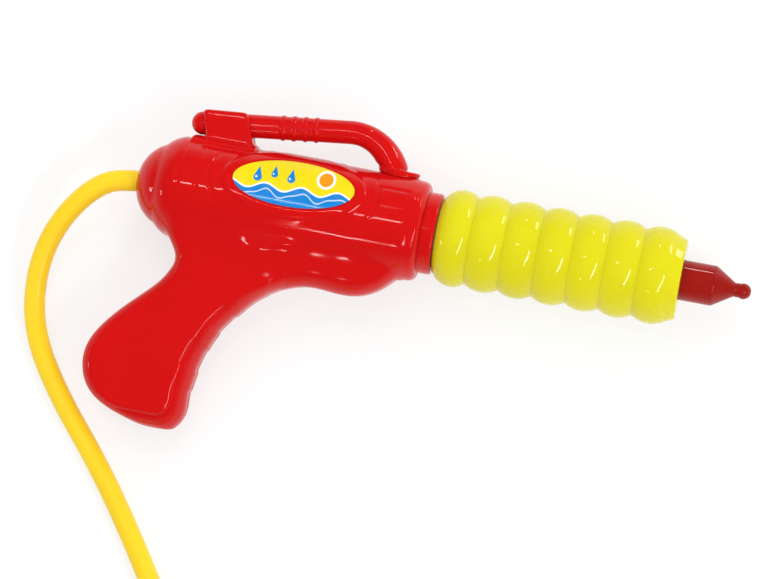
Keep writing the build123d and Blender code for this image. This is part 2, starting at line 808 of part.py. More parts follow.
def hose_clip():
    """The spring clip that holds the hose on its barb."""
    inner = hose_radius + clip_gap
    outer = inner + clip_thickness
    band = ring(inner, outer, clip_place - clip_width / 2, clip_place + clip_width / 2)
    ears = Pos(clip_place, (inner + outer) / 2, 0) * Box(
        clip_width, clip_ear_height, clip_slot + 2 * clip_thickness, align=(Align.CENTER, Align.MIN, Align.CENTER)
    )
    slot = Pos(clip_place, 0, 0) * Box(
        2 * clip_width, outer + clip_ear_height, clip_slot, align=(Align.CENTER, Align.MIN, Align.CENTER)
    )
    return band + ears - slot


def corner_radii(points):
    """The radius of each bend of a hose: 0.45 of its shorter run over the half turn's tangent."""
    radii = []
    for before, here, after in zip(points, points[1:], points[2:]):
        run_in = Vector(*here) - Vector(*before)
        run_out = Vector(*after) - Vector(*here)
        half_turn = math.radians(run_in.get_angle(run_out)) / 2
        radii.append(0.45 * min(run_in.length, run_out.length) / math.tan(half_turn))
    return radii


def hose_tube(name, points):
    """A hose along straight runs joined by tangent arcs."""
    radii = corner_radii(points)
    path = FilletPolyline(*points, radius=radii)
    section = Circle(hose_radius) - Circle(hose_bore_radius)
    tube = sweep(Plane(origin=path @ 0, z_dir=path % 0) * section, path)
    expected = math.pi * (hose_radius**2 - hose_bore_radius**2) * path.length
    print(name, "length", round(path.length, 1), "volume ratio", round(tube.volume / expected, 4))
    print(name, "radii", [round(radius, 1) for radius in radii])
    return tube


def coil_point(angle, radius, height):
    """A point on the coil's circle, at an angle from +X."""
    turn = math.radians(angle)
    return (coil_centre[0] + radius * math.cos(turn), coil_centre[1] + radius * math.sin(turn), height)


def coil_heading(angle):
    """The direction in which the hose runs at an angle round the coil."""
    turn = math.radians(angle)
    return Vector(-math.sin(turn), math.cos(turn), 0)


coil_end_angle = coil_start_angle + coil_sweep
coil_entry = Vector(*coil_point(coil_start_angle, coil_radius, hose_radius))
coil_mouth_in = coil_entry - coil_heading(coil_start_angle) * coil_stub
coil_exit = Vector(*coil_point(coil_end_angle, coil_radius, 3 * hose_radius))
coil_mouth_out = coil_exit + coil_heading(coil_end_angle) * coil_stub
coil_approach = coil_mouth_in - coil_heading(coil_start_angle) * hose_approach
coil_departure = coil_mouth_out + coil_heading(coil_end_angle) * hose_departure


def hose_coil():
    """The outer shape of the stored coil: one turn, and the part of the next that lies on it."""
    low = Pos(*coil_centre, hose_radius) * Torus(coil_radius, hose_radius)
    upright = Plane(origin=(coil_radius, 0, hose_diameter), x_dir=(1, 0, 0), z_dir=(0, -1, 0))
    section = upright * RectangleRounded(hose_diameter, 2 * hose_diameter, coil_corner)
    sweep_angle = coil_end_angle - 360.0 - coil_start_angle + coil_climb_angle
    high = revolve(section, Axis.Z, revolution_arc=sweep_angle)
    high = Pos(*coil_centre, 0) * Rot(0, 0, coil_start_angle - coil_climb_angle) * high
    coil = low + high
    for start, end in ((coil_entry, coil_mouth_in), (coil_exit, coil_mouth_out)):
        plane = Plane(origin=start, z_dir=(end - start).normalized())
        coil += plane * extrude(Circle(hose_radius), coil_stub)
    return coil


hose_end_points = (tuple(coil_mouth_out), tuple(coil_departure)) + hose_end_route


def connector_plane():
    """The plane across the tank connector where the hose ends, looking out of the hose."""
    before = Vector(*hose_end_points[-2])
    end = Vector(*hose_end_points[-1])
    return Plane(origin=end, z_dir=(end - before).normalized())


def tank_connector():
    """The push-on connector on the far end of the hose, with a ribbed cap."""
    total = connector_length + connector_cap_length
    body = extrude(Circle(connector_radius), connector_length)
    cap = Pos(0, 0, connector_length) * extrude(Circle(connector_cap_radius), connector_cap_length)
    cap = fillet(cap.edges().filter_by(GeomType.CIRCLE), connector_edge_round)
    spigot = Pos(0, 0, -connector_spigot_length) * extrude(Circle(barb_radius), connector_spigot_length)
    bore_bottom = total - connector_bore_depth
    bore = Pos(0, 0, bore_bottom) * extrude(Circle(connector_bore), 2 * connector_bore_depth)
    channel = Pos(0, 0, -total) * extrude(Circle(inlet_bore), 2 * total)
    seal_bottom = bore_bottom - connector_seal_length
    seal_pocket = Pos(0, 0, seal_bottom) * extrude(Circle(connector_seal_radius), connector_bore_depth)
    connector = body + cap + spigot - bore - seal_pocket - channel
    notch_length = connector_cap_length - 2 * connector_notch_margin
    notch = Pos(connector_cap_radius, 0, connector_length + connector_cap_length / 2) * Box(
        2 * connector_notch_depth, connector_notch_width, notch_length
    )
    for count in range(connector_cap_ribs):
        connector -= Rot(0, 0, 360.0 * count / connector_cap_ribs) * notch
    return connector_plane() * connector


def connector_seal():
    """The flat ring at the bottom of the connector's bore."""
    start = connector_length + connector_cap_length - connector_bore_depth - connector_seal_length
    seal = Circle(connector_seal_radius - seal_gap) - Circle(inlet_bore)
    return connector_plane() * Pos(0, 0, start) * extrude(seal, connector_seal_length)


outside = housing_form(0.0)
for finger_pad in finger_pad_form():
    outside += finger_pad
hollow = housing_form(shell_wall)
label_pocket = label_skin(rib_gap)
gun_nodes = {
    "shell_right": half_shell(1, outside, hollow) + oval_pad() - label_pocket,
    "shell_left": half_shell(-1, outside, hollow),
    "shell_screws": shell_screws(),
    "label_right": label_skin(0.0),
    "carry_bar": carry_bar(),
    "front_guide": front_guide(),
    "pump_cylinder": pump_cylinder(),
    "cylinder_end_cap": cylinder_end_cap(),
    "pump_sleeve": pump_sleeve(),
    "sleeve_lock_ring": sleeve_lock_ring(),
    "nozzle": nozzle(),
    "nozzle_seal": nozzle_seal(),
    "outlet_valve_seat": outlet_valve_seat(),
    "outlet_valve_ball": outlet_valve_ball(),
    "outlet_valve_spring": outlet_valve_spring(),
    "piston_rod": piston_rod(),
    "piston_head": piston_head(),
    "piston_seal": piston_seal(),
    "inlet_valve_body": inlet_valve_body(),
    "inlet_valve_ball": inlet_valve_ball(),
    "hose_clip": hose_clip(),
}
hose_nodes = {
    "supply_hose": hose_tube("supply_hose", list(hose_route) + [tuple(coil_approach), tuple(coil_mouth_in)]),
    "hose_coil": hose_coil(),
    "hose_end": hose_tube("hose_end", list(hose_end_points)),
    "tank_connector": tank_connector(),
    "connector_seal": connector_seal(),
}

# Lay the squirter on its left side: the barrel and the lower edge of the handle touch the floor
touch_height, touch_rear, touch_front, touch_half = handle_slices[handle_lying_slice]
touch_distance = math.hypot(touch_height, touch_half)
lying_roll = math.degrees(math.asin(barrel_radius / touch_distance) - math.atan2(touch_half, -touch_height))
rolled = {name: Rot(lying_roll, 0, 0) * shape for name, shape in gun_nodes.items()}
boxes = [shape.bounding_box() for shape in rolled.values()]
middle_x = (min(box.min.X for box in boxes) + max(box.max.X for box in boxes)) / 2
middle_y = (min(box.min.Y for box in boxes) + max(box.max.Y for box in boxes)) / 2
lowest = min(box.min.Z for box in boxes) + barrel_radius
print("roll", round(lying_roll, 4), "shift", round(-middle_x, 4), round(-middle_y, 4), "lowest", round(lowest, 3))
for name, shape in rolled.items():
    export_step(Pos(-middle_x, -middle_y, barrel_radius - lowest) * shape, f"parts/{name}.step")
for name, shape in hose_nodes.items():
    export_step(Pos(-middle_x, -middle_y, 0) * shape, f"parts/{name}.step")
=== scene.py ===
"""The looks of a water squirter's hand unit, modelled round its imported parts."""

import math

import bpy
import numpy
from bpy.props import FloatProperty, FloatVectorProperty, PointerProperty
from bpy.types import Operator, Panel, PropertyGroup
from mathutils import Matrix, Vector


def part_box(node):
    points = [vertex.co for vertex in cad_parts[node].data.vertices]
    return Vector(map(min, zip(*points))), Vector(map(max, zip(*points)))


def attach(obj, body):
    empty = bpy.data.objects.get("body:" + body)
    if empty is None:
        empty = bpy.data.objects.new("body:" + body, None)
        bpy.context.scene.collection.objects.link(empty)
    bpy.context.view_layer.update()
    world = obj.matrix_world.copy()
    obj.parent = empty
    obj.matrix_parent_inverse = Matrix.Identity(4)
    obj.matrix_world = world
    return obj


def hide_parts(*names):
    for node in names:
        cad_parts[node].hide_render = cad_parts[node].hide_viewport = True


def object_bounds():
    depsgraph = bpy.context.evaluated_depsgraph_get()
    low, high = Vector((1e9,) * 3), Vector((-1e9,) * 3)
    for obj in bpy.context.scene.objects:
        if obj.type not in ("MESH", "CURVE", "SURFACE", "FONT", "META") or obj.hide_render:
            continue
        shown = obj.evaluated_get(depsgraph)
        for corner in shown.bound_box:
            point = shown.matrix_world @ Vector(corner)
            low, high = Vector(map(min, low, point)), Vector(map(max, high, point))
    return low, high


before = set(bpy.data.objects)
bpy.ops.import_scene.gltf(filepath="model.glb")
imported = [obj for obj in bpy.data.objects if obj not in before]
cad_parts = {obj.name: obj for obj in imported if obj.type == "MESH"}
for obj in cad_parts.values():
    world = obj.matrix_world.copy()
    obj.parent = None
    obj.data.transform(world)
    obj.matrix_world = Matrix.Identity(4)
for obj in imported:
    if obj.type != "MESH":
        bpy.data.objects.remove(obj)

bl_info = {
    "name": "Water squirter looks",
    "version": (1, 0, 0),
    "blender": (4, 5, 0),
    "location": "View3D > Sidebar > Squirter",
    "description": "Finishes the hand unit of a water squirter and sets up its studio",
    "category": "Object",
}

MM = 0.001
CAD_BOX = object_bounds()

# The unit's own frame: X along the barrel from the dome, +Y to the carry bar, +Z to the right side
UNIT_LENGTH = 290.4 * MM
LYING_TURN = math.radians(5.55)
sleeve_low, sleeve_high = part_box("pump_sleeve")
nozzle_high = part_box("nozzle")[1]
AXIS_START = Vector((
    nozzle_high.x - UNIT_LENGTH,
    (sleeve_low.y + sleeve_high.y) / 2,
    (sleeve_low.z + sleeve_high.z) / 2,
))
UNIT_TO_ROW = Matrix.Translation(AXIS_START) @ Matrix.Rotation(LYING_TURN, 4, "X")
ROW_TO_UNIT = UNIT_TO_ROW.inverted()

# Route of the hose: along the barrel, across it, and height over the floor, in millimetres
HOSE_ROUTE = (
    (18.5, 0.0, 24.2),
    (-6.5, 0.0, 24.2),
    (-20.9, -7.5, 22.6),
    (-35.0, -26.1, 16.5),
    (-41.5, -49.3, 10.0),
    (-38.0, -77.0, 5.6),
    (-20.5, -104.5, 5.0),
    (6.0, -134.5, 5.0),
    (31.9, -170.1, 5.0),
)

# The hose's last points, from its coil to the connector, given in the same way
HOSE_END_ROUTE = (
    (206.0, -268.5, 12.4),
    (222.0, -262.5, 11.0),
    (236.0, -255.5, 11.0),
)

# The hose's coil: its middle and radius, its start and sweep in degrees, the straight stub at either
# end, its points in a turn, and how far past each stub the route's next point lies
COIL_CENTRE = (125.8, -232.2)
COIL_RADIUS = 52.0
COIL_START_ANGLE = 207.0
COIL_SWEEP = 433.5
COIL_STUB = 36.0
COIL_STEPS_PER_TURN = 24
HOSE_APPROACH = 24.0
HOSE_DEPARTURE = 18.0

# The hose's width, the heights of its middle on the floor and across its own first turn, and where in
# the coil's sweep it climbs from one to the other, in degrees
HOSE_WIDTH = 10.0 * MM
HOSE_LOW = 5.0
HOSE_HIGH = 15.0
CLIMB_START = 310.0
CLIMB_SWEEP = 40.0

# The label's place on the unit, and its print: drops as along, up and radius, a sun, and two waves
LABEL_CENTRE = Vector((75.4, 10.5, 0.0))
LABEL_TILT = math.radians(2.0)
PRINT_DROPS = ((-17.0, 1.2, 2.0), (-9.5, 3.4, 1.6), (-1.5, 2.2, 1.9))
SUN_CENTRE = (14.5, 4.1)
SUN_EDGE = (3.2, 3.4)
SUN_HALO_EDGE = (4.3, 4.5)
WAVE_LENGTH = 17.0
WAVE_HEIGHT = 1.5
WAVE_LEVEL = -3.0
RIPPLE_LENGTH = 9.0
RIPPLE_HEIGHT = 0.5
RIPPLE_DROP = 2.6

# The skins: the fineness of each mesh in millimetres, and how often it is softened all over
SKIN_VOXEL = 0.73
BAR_VOXEL = 0.45
NOZZLE_VOXEL = 0.32
SKIN_SOFTENING = 12
BAR_SOFTENING = 4
NOZZLE_SOFTENING = 8

# How often the skins are softened once more where forms meet, and the least weight that counts there
BLEND_SOFTENING = 90
GRIP_SOFTENING = 12
BAR_FOOT_SOFTENING = 6
NECK_SOFTENING = 30
LEAST_WEIGHT = 0.02

# The barrel, and where the fairing and the grip leave it in a soft blend: how far from the barrel's
# round it reaches, its top, its two ends along the barrel and its start beside the seam
BARREL_RADIUS = 24.2
BARREL_LENGTH = 136.8
BLEND_REACH = 4.5
BLEND_TOP = -4.0
BLEND_FROM = 14.0
BLEND_TO = 127.0
BLEND_FROM_SEAM = 1.5

# The sides of the grip that are softened: their top, their rear end and how far out they start
GRIP_TOP = -28.0
GRIP_FROM = 8.0
GRIP_SIDE = 6.0

# The fine contour lines of the grip, along and up, with their height, width and least distance out
GRIP_LINE = (
    (-3.0, -78.0), (14.0, -77.0), (19.0, -70.0), (22.0, -60.0), (27.0, -52.0), (35.0, -42.0),
    (45.0, -33.0), (55.0, -25.0), (70.0, -19.0), (85.0, -15.5),
)
REAR_LINE = ((23.0, -17.0), (29.0, -22.0), (30.5, -26.0), (29.0, -35.0))
GRIP_LINE_HEIGHT = 0.12
GRIP_LINE_WIDTH = 1.1
GRIP_LINE_SIDE = 11.5

# The grip's flat sides: levels where each is measured, how near a place counts for its level, how far
# a finger pad may stand from the flat, and what share of that it sinks
FINGER_LEVELS = tuple(range(-98, -31, 3))
FINGER_LEVEL_REACH = 2.0
FINGER_PAD_LIMIT = 1.5
FINGER_PAD_LOWERING = 0.85

# The relief of the barrel's skin: the label's pad and pocket with the width of their edges, the wide
# oval, the rings, the small panel and the pressed line that draws the last three
PAD_REACH = (33.4, 15.7)
PAD_HEIGHT = 0.8
PAD_EDGE = 1.8
POCKET_REACH = (28.9, 11.2)
POCKET_DEPTH = 0.52
POCKET_EDGE = 0.8
WIDE_OVAL_REACH = (39.5, 25.5)
RING_PLACES = (21.8, 30.5)
PANEL_CENTRE = (121.8, 12.0)
PANEL_REACH = (6.5, 4.5)
GROOVE_DEPTH = 0.42
GROOVE_WIDTH = 0.6

# Where the barrel's skin is brought to its true round: from and to along the barrel, how far it may be
# off, and what is left out, as the bracket's rear end, front end and side and the foot's rear and side
STRAIGHT_FROM = 20.5
STRAIGHT_TO = 129.4
ROUND_LIMIT = 1.3
BRACKET_ZONE = (20.0, 56.0, 14.5)
FOOT_ZONE = (106.0, 9.5)

# The carry bar's front bend, the step at which its line is followed, where along the barrel its front
# is softened, and how it widens to its foot: radii at distances from the foot
BAR_SLOPE = math.radians(6.6)
BAR_START_HEIGHT = 31.5
BAR_RUN = BARREL_LENGTH - 51.0
BAR_CORNER = (BARREL_LENGTH - 25.5, BAR_START_HEIGHT + BAR_RUN * math.tan(BAR_SLOPE))
BAR_END = (BARREL_LENGTH - 17.3, 19.5)
BAR_BEND = 22.0
BAR_STEP = 0.2
BAR_FOOT_TOP = 27.0
BAR_FRONT_FROM = 104.0
BAR_FLARE_REACH = (6.0, 14.0, 22.0, 30.0)
BAR_FLARE_RADII = (7.1, 6.3, 5.8, 5.5)

# The round bead at the nozzle's tip: how far behind its middle and how far out from it the bead's face
# starts, as shares of its radius, and how far and how strongly its neck is softened
BEAD_RADIUS = 3.7
BEAD_CENTRE = UNIT_LENGTH / MM - BEAD_RADIUS
BEAD_BACK = 0.7
BEAD_CORE = 0.85
NECK_REACH = 2.5
NECK_WEIGHT = 1.4

# The studio: the points that the camera and the key light face, in the unit's frame, the key light's
# place along, across and out from its point and its size, in metres, how white the floor looks, and
# how steeply a mirrored ray has to rise to meet the room at its darkest
CAMERA_TARGET = (124.0, -29.3, 0.0)
LIT_MIDDLE = (120.0, 0.0, 0.0)
KEY_PLACE = (-0.3, 0.8, 1.0)
KEY_SIZE = (1.2, 0.8)
FLOOR_WHITENESS = 0.7
MIRROR_FADE = 0.45

# How the mouldings bend and mirror light, and how far it spreads in the soft ones, in metres
PLASTIC_IOR = 1.4
PLASTIC_SPECULAR = 0.35
SOFT_SPREAD = (0.004, 0.003, 0.001)

# The narrow lights: name, where on the unit and on which normal it is mirrored, its long edge, how far it
# stands in metres, its length and width in metres, and how bright it is
STRIPS = (
    ("barrel_strip", (73, 0, 24), (0.0, 0.09, 1.0), (1, 0, 0), 1.1, (0.20, 0.030), 36.0),
    ("grip_strip", (40, -62, 14), (0.40, -0.12, 0.91), (0.3, 0.95, 0), 1.2, (0.80, 0.080), 26.0),
    ("belly_strip", (101, -23, 16), (0.0, -0.36, 0.93), (1, 0, 0), 1.0, (0.045, 0.030), 32.0),
    ("nozzle_strip", (265, 6, 7), (0.0, 0.60, 0.80), (1, 0, 0), 1.0, (0.03, 0.09), 26.0),
    ("heel_strip", (-4, -84, 12), (-0.50, -0.10, 0.86), (0, 1, 0), 1.0, (0.15, 0.060), 18.0),
    ("sleeve_strip", (200, 10, 20), (0.42, 0.52, 0.74), (0.18, -0.51, 0.84), 1.2, (0.40, 0.130), 12.0),
)


def on_unit(x, y, z):
    """A point of the unit's own frame, in millimetres, as a place in the row frame."""
    return UNIT_TO_ROW @ (Vector((x, y, z)) * MM)


def on_floor(x, y, height):
    """A point beside the unit, with its height over the floor in millimetres."""
    return Vector((AXIS_START.x + x * MM, AXIS_START.y + y * MM, height * MM))


def turned(direction):
    """A direction of the unit's own frame, as one in the row frame."""
    return UNIT_TO_ROW.to_3x3() @ Vector(direction)


def unit_axes():
    """The directions along the barrel, across it to the carry bar and out of its right side."""
    return [turned(axis).normalized() for axis in ((1, 0, 0), (0, 1, 0), (0, 0, 1))]


class SQUIRTER_PG_stage(PropertyGroup):
    """The camera, the lights and the floor"""

    camera_distance: FloatProperty(
        name="Camera distance",
        description="How far the camera stands from the unit",
        default=1.9, min=0.5, max=5.0, unit="LENGTH",
    )
    frame_width: FloatProperty(
        name="Width in view",
        description="How much the picture shows from side to side at the barrel",
        default=0.3585, min=0.1, max=2.0, unit="LENGTH",
    )
    camera_roll: FloatProperty(
        name="Camera roll",
        description="How far the barrel points down across the picture",
        default=math.radians(10.5), subtype="ANGLE",
    )
    camera_lean: FloatProperty(
        name="Camera lean",
        description="How far the camera stands towards the muzzle from straight above",
        default=math.radians(6.0), subtype="ANGLE",
    )
    key_power: FloatProperty(
        name="Key light power",
        description="Power of the large soft light",
        default=6.0, min=0.0, max=200.0, unit="POWER",
    )
    strip_level: FloatProperty(
        name="Strip light level",
        description="How bright each narrow light is that draws a bright line, for its size",
        default=1.0, min=0.0, max=10.0,
    )
    world_level: FloatProperty(
        name="Room level",
        description="Strength of the even light from all round",
        default=0.62, min=0.0, max=2.0,
    )
    mirrored_level: FloatProperty(
        name="Mirrored room level",
        description="Strength of the room as glossy faces mirror it",
        default=0.10, min=0.0, max=2.0,
    )
    floor_colour: FloatVectorProperty(
        name="Floor colour",
        description="Colour of the floor under the unit",
        subtype="COLOR", size=3, default=(0.95, 0.95, 0.95), min=0.0, max=1.0,
    )


class SQUIRTER_PG_plastics(PropertyGroup):
    """The colours and the gloss of the mouldings"""

    shell_red: FloatVectorProperty(
        name="Shell red",
        description="Colour of the housing halves and the carry bar",
        subtype="COLOR", size=3, default=(0.60, 0.005, 0.005), min=0.0, max=1.0,
    )
    nozzle_red: FloatVectorProperty(
        name="Nozzle red",
        description="Colour of the darker nozzle",
        subtype="COLOR", size=3, default=(0.31, 0.010, 0.007), min=0.0, max=1.0,
    )
    sleeve_yellow: FloatVectorProperty(
        name="Sleeve yellow",
        description="Colour of the ribbed sleeve",
        subtype="COLOR", size=3, default=(0.69, 0.635, 0.012), min=0.0, max=1.0,
    )
    hose_yellow: FloatVectorProperty(
        name="Hose yellow",
        description="Colour of the soft hose",
        subtype="COLOR", size=3, default=(0.95, 0.66, 0.020), min=0.0, max=1.0,
    )
    print_yellow: FloatVectorProperty(
        name="Label yellow",
        description="Ground colour of the printed label",
        subtype="COLOR", size=3, default=(0.82, 0.66, 0.008), min=0.0, max=1.0,
    )
    gloss_roughness: FloatProperty(
        name="Gloss roughness",
        description="Roughness of the polished mouldings",
        default=0.06, min=0.0, max=1.0, subtype="FACTOR",
    )


def deselect_all():
    """Leaves object mode with nothing selected."""
    if bpy.context.mode != "OBJECT":
        bpy.ops.object.mode_set(mode="OBJECT")
    bpy.ops.object.select_all(action="DESELECT")


def add_node(tree, kind, place, **values):
    """A shader node at its place in the tree, with its own settings."""
    node = tree.nodes.new(kind)
    node.location = place
    for key, value in values.items():
        setattr(node, key, value)
    return node


def new_group(name, inputs, outputs):
    """An empty shader node group with its sockets and the two nodes that stand for them."""
    tree = bpy.data.node_groups.new(name, "ShaderNodeTree")
    for label, kind, default in inputs:
        socket = tree.interface.new_socket(name=label, in_out="INPUT", socket_type=kind)
        socket.default_value = default
    for label, kind in outputs:
        tree.interface.new_socket(name=label, in_out="OUTPUT", socket_type=kind)
    group_in = add_node(tree, "NodeGroupInput", (-900, 0))
    group_out = add_node(tree, "NodeGroupOutput", (700, 0))
    return tree, group_in, group_out


def noise(tree, place, scale, detail, roughness, vector):
    """A noise texture that reads the given coordinates."""
    node = add_node(tree, "ShaderNodeTexNoise", place)
    node.inputs["Scale"].default_value = scale
    node.inputs["Detail"].default_value = detail
    node.inputs["Roughness"].default_value = roughness
    tree.links.new(vector, node.inputs["Vector"])
    return node


def math_step(tree, place, operation, first, second=None, third=None):
    """A math node whose inputs are sockets or plain numbers."""
    node = add_node(tree, "ShaderNodeMath", place, operation=operation)
    for index, value in enumerate((first, second, third)):
        if isinstance(value, bpy.types.NodeSocket):
            tree.links.new(value, node.inputs[index])
        elif value is not None:
            node.inputs[index].default_value = value
    return node.outputs[0]


def map_range(tree, place, value, low, high, to_low, to_high):
    """A smooth step from one range to another."""
    node = add_node(tree, "ShaderNodeMapRange", place, interpolation_type="SMOOTHSTEP")
    tree.links.new(value, node.inputs["Value"])
    node.inputs["From Min"].default_value = low
    node.inputs["From Max"].default_value = high
    node.inputs["To Min"].default_value = to_low
    node.inputs["To Max"].default_value = to_high
    return node.outputs["Result"]


def mix_colours(tree, place, factor, first, second, blend="MIX"):
    """Two colours mixed, each a socket or a plain colour."""
    node = add_node(tree, "ShaderNodeMix", place, data_type="RGBA", blend_type=blend)
    sockets = (node.inputs[0], node.inputs[6], node.inputs[7])
    for socket, value in zip(sockets, (factor, first, second)):
        if isinstance(value, bpy.types.NodeSocket):
            tree.links.new(value, socket)
        else:
            socket.default_value = value
    return node.outputs[2]


def moulded_surface_group():
    """Fine unevenness of a moulded surface: slow colour drift, satin patches and grain."""
    tree, group_in, group_out = new_group(
        "Moulded surface",
        (
            ("Color", "NodeSocketColor", (0.8, 0.8, 0.8, 1.0)),
            ("Drift", "NodeSocketFloat", 0.1),
            ("Roughness", "NodeSocketFloat", 0.15),
            ("Satin", "NodeSocketFloat", 0.05),
            ("Grain", "NodeSocketFloat", 0.3),
        ),
        (("Color", "NodeSocketColor"), ("Roughness", "NodeSocketFloat"), ("Height", "NodeSocketFloat")),
    )
    place = add_node(tree, "ShaderNodeTexCoord", (-900, -300)).outputs["Object"]
    slow = noise(tree, (-650, 200), 28.0, 2.0, 0.5, place)
    patches = noise(tree, (-650, -50), 90.0, 4.0, 0.6, place)
    grain = noise(tree, (-650, -300), 2600.0, 2.0, 0.5, place)
    ripple = noise(tree, (-650, -550), 55.0, 1.0, 0.4, place)
    shade = math_step(tree, (-400, 200), "SUBTRACT", slow.outputs["Fac"], 0.5)
    shade = math_step(tree, (-230, 200), "MULTIPLY", shade, group_in.outputs["Drift"])
    shade = math_step(tree, (-60, 200), "ADD", shade, 1.0)
    grey = add_node(tree, "ShaderNodeCombineColor", (0, 50))
    for socket in grey.inputs:
        tree.links.new(shade, socket)
    tinted = mix_colours(
        tree, (120, 200), 1.0, group_in.outputs["Color"], grey.outputs[0], "MULTIPLY",
    )
    satin = math_step(tree, (-400, -50), "SUBTRACT", patches.outputs["Fac"], 0.4)
    satin = math_step(tree, (-230, -50), "MULTIPLY", satin, group_in.outputs["Satin"])
    rough = math_step(tree, (-60, -50), "ADD", satin, group_in.outputs["Roughness"])
    fine = math_step(tree, (-230, -300), "MULTIPLY", grain.outputs["Fac"], group_in.outputs["Grain"])
    height = math_step(tree, (-60, -400), "ADD", fine, ripple.outputs["Fac"])
    tree.links.new(tinted, group_out.inputs["Color"])
    tree.links.new(rough, group_out.inputs["Roughness"])
    tree.links.new(height, group_out.inputs["Height"])
    return tree


def edge_wear_group():
    """Edges that handling has rubbed paler and duller."""
    tree, group_in, group_out = new_group(
        "Edge wear",
        (
            ("Color", "NodeSocketColor", (0.8, 0.8, 0.8, 1.0)),
            ("Worn Color", "NodeSocketColor", (0.9, 0.6, 0.6, 1.0)),
            ("Roughness", "NodeSocketFloat", 0.15),
            ("Amount", "NodeSocketFloat", 0.3),
        ),
        (("Color", "NodeSocketColor"), ("Roughness", "NodeSocketFloat")),
    )
    place = add_node(tree, "ShaderNodeTexCoord", (-900, -300)).outputs["Object"]
    pointed = add_node(tree, "ShaderNodeNewGeometry", (-900, 300)).outputs["Pointiness"]
    edge = map_range(tree, (-650, 300), pointed, 0.56, 0.68, 0.0, 1.0)
    patchy = noise(tree, (-650, 0), 220.0, 5.0, 0.65, place)
    patch = map_range(tree, (-400, 0), patchy.outputs["Fac"], 0.45, 0.62, 0.0, 1.0)
    mask = math_step(tree, (-200, 200), "MULTIPLY", edge, patch)
    mask = math_step(tree, (-30, 200), "MULTIPLY", mask, group_in.outputs["Amount"])
    colour = mix_colours(tree, (150, 200), mask, group_in.outputs["Color"], group_in.outputs["Worn Color"])
    dull = math_step(tree, (150, -100), "MULTIPLY_ADD", mask, 0.3, group_in.outputs["Roughness"])
    tree.links.new(colour, group_out.inputs["Color"])
    tree.links.new(dull, group_out.inputs["Roughness"])
    return tree


def handling_marks_group():
    """Hair-fine scratches from play, in two directions, as a height and a mask."""
    tree, group_in, group_out = new_group(
        "Handling marks",
        (("Amount", "NodeSocketFloat", 0.5),),
        (("Height", "NodeSocketFloat"), ("Mask", "NodeSocketFloat")),
    )
    place = add_node(tree, "ShaderNodeTexCoord", (-1500, 0)).outputs["Object"]
    lines = []
    for index, (turn, stretch) in enumerate(((0.5, 14.0), (-0.9, 18.0))):
        row = 200 - 400 * index
        mapping = add_node(tree, "ShaderNodeMapping", (-1300, row))
        mapping.inputs["Rotation"].default_value = (0.3, 0.2, turn)
        mapping.inputs["Scale"].default_value = (1.0, stretch, stretch)
        tree.links.new(place, mapping.inputs["Vector"])
        streak = noise(tree, (-1100, row), 70.0, 3.0, 0.6, mapping.outputs[0])
        middle = math_step(tree, (-900, row), "SUBTRACT", streak.outputs["Fac"], 0.5)
        away = math_step(tree, (-730, row), "ABSOLUTE", middle)
        lines.append(map_range(tree, (-560, row), away, 0.0, 0.006, 1.0, 0.0))
    both = math_step(tree, (-350, 0), "MAXIMUM", lines[0], lines[1])
    cloud = noise(tree, (-560, -600), 35.0, 2.0, 0.5, place)
    where = map_range(tree, (-350, -600), cloud.outputs["Fac"], 0.52, 0.7, 0.0, 1.0)
    mask = math_step(tree, (-150, 0), "MULTIPLY", both, where)
    mask = math_step(tree, (20, 0), "MULTIPLY", mask, group_in.outputs["Amount"])
    down = math_step(tree, (200, 0), "MULTIPLY", mask, -1.0)
    tree.links.new(down, group_out.inputs["Height"])
    tree.links.new(mask, group_out.inputs["Mask"])
    return tree


def distance(tree, place, first, second):
    """How far two offsets reach together."""
    first = math_step(tree, place, "POWER", math_step(tree, place, "ABSOLUTE", first), 2.0)
    total = math_step(tree, place, "ADD", first, math_step(tree, place, "MULTIPLY", second, second))
    return math_step(tree, place, "SQRT", total)


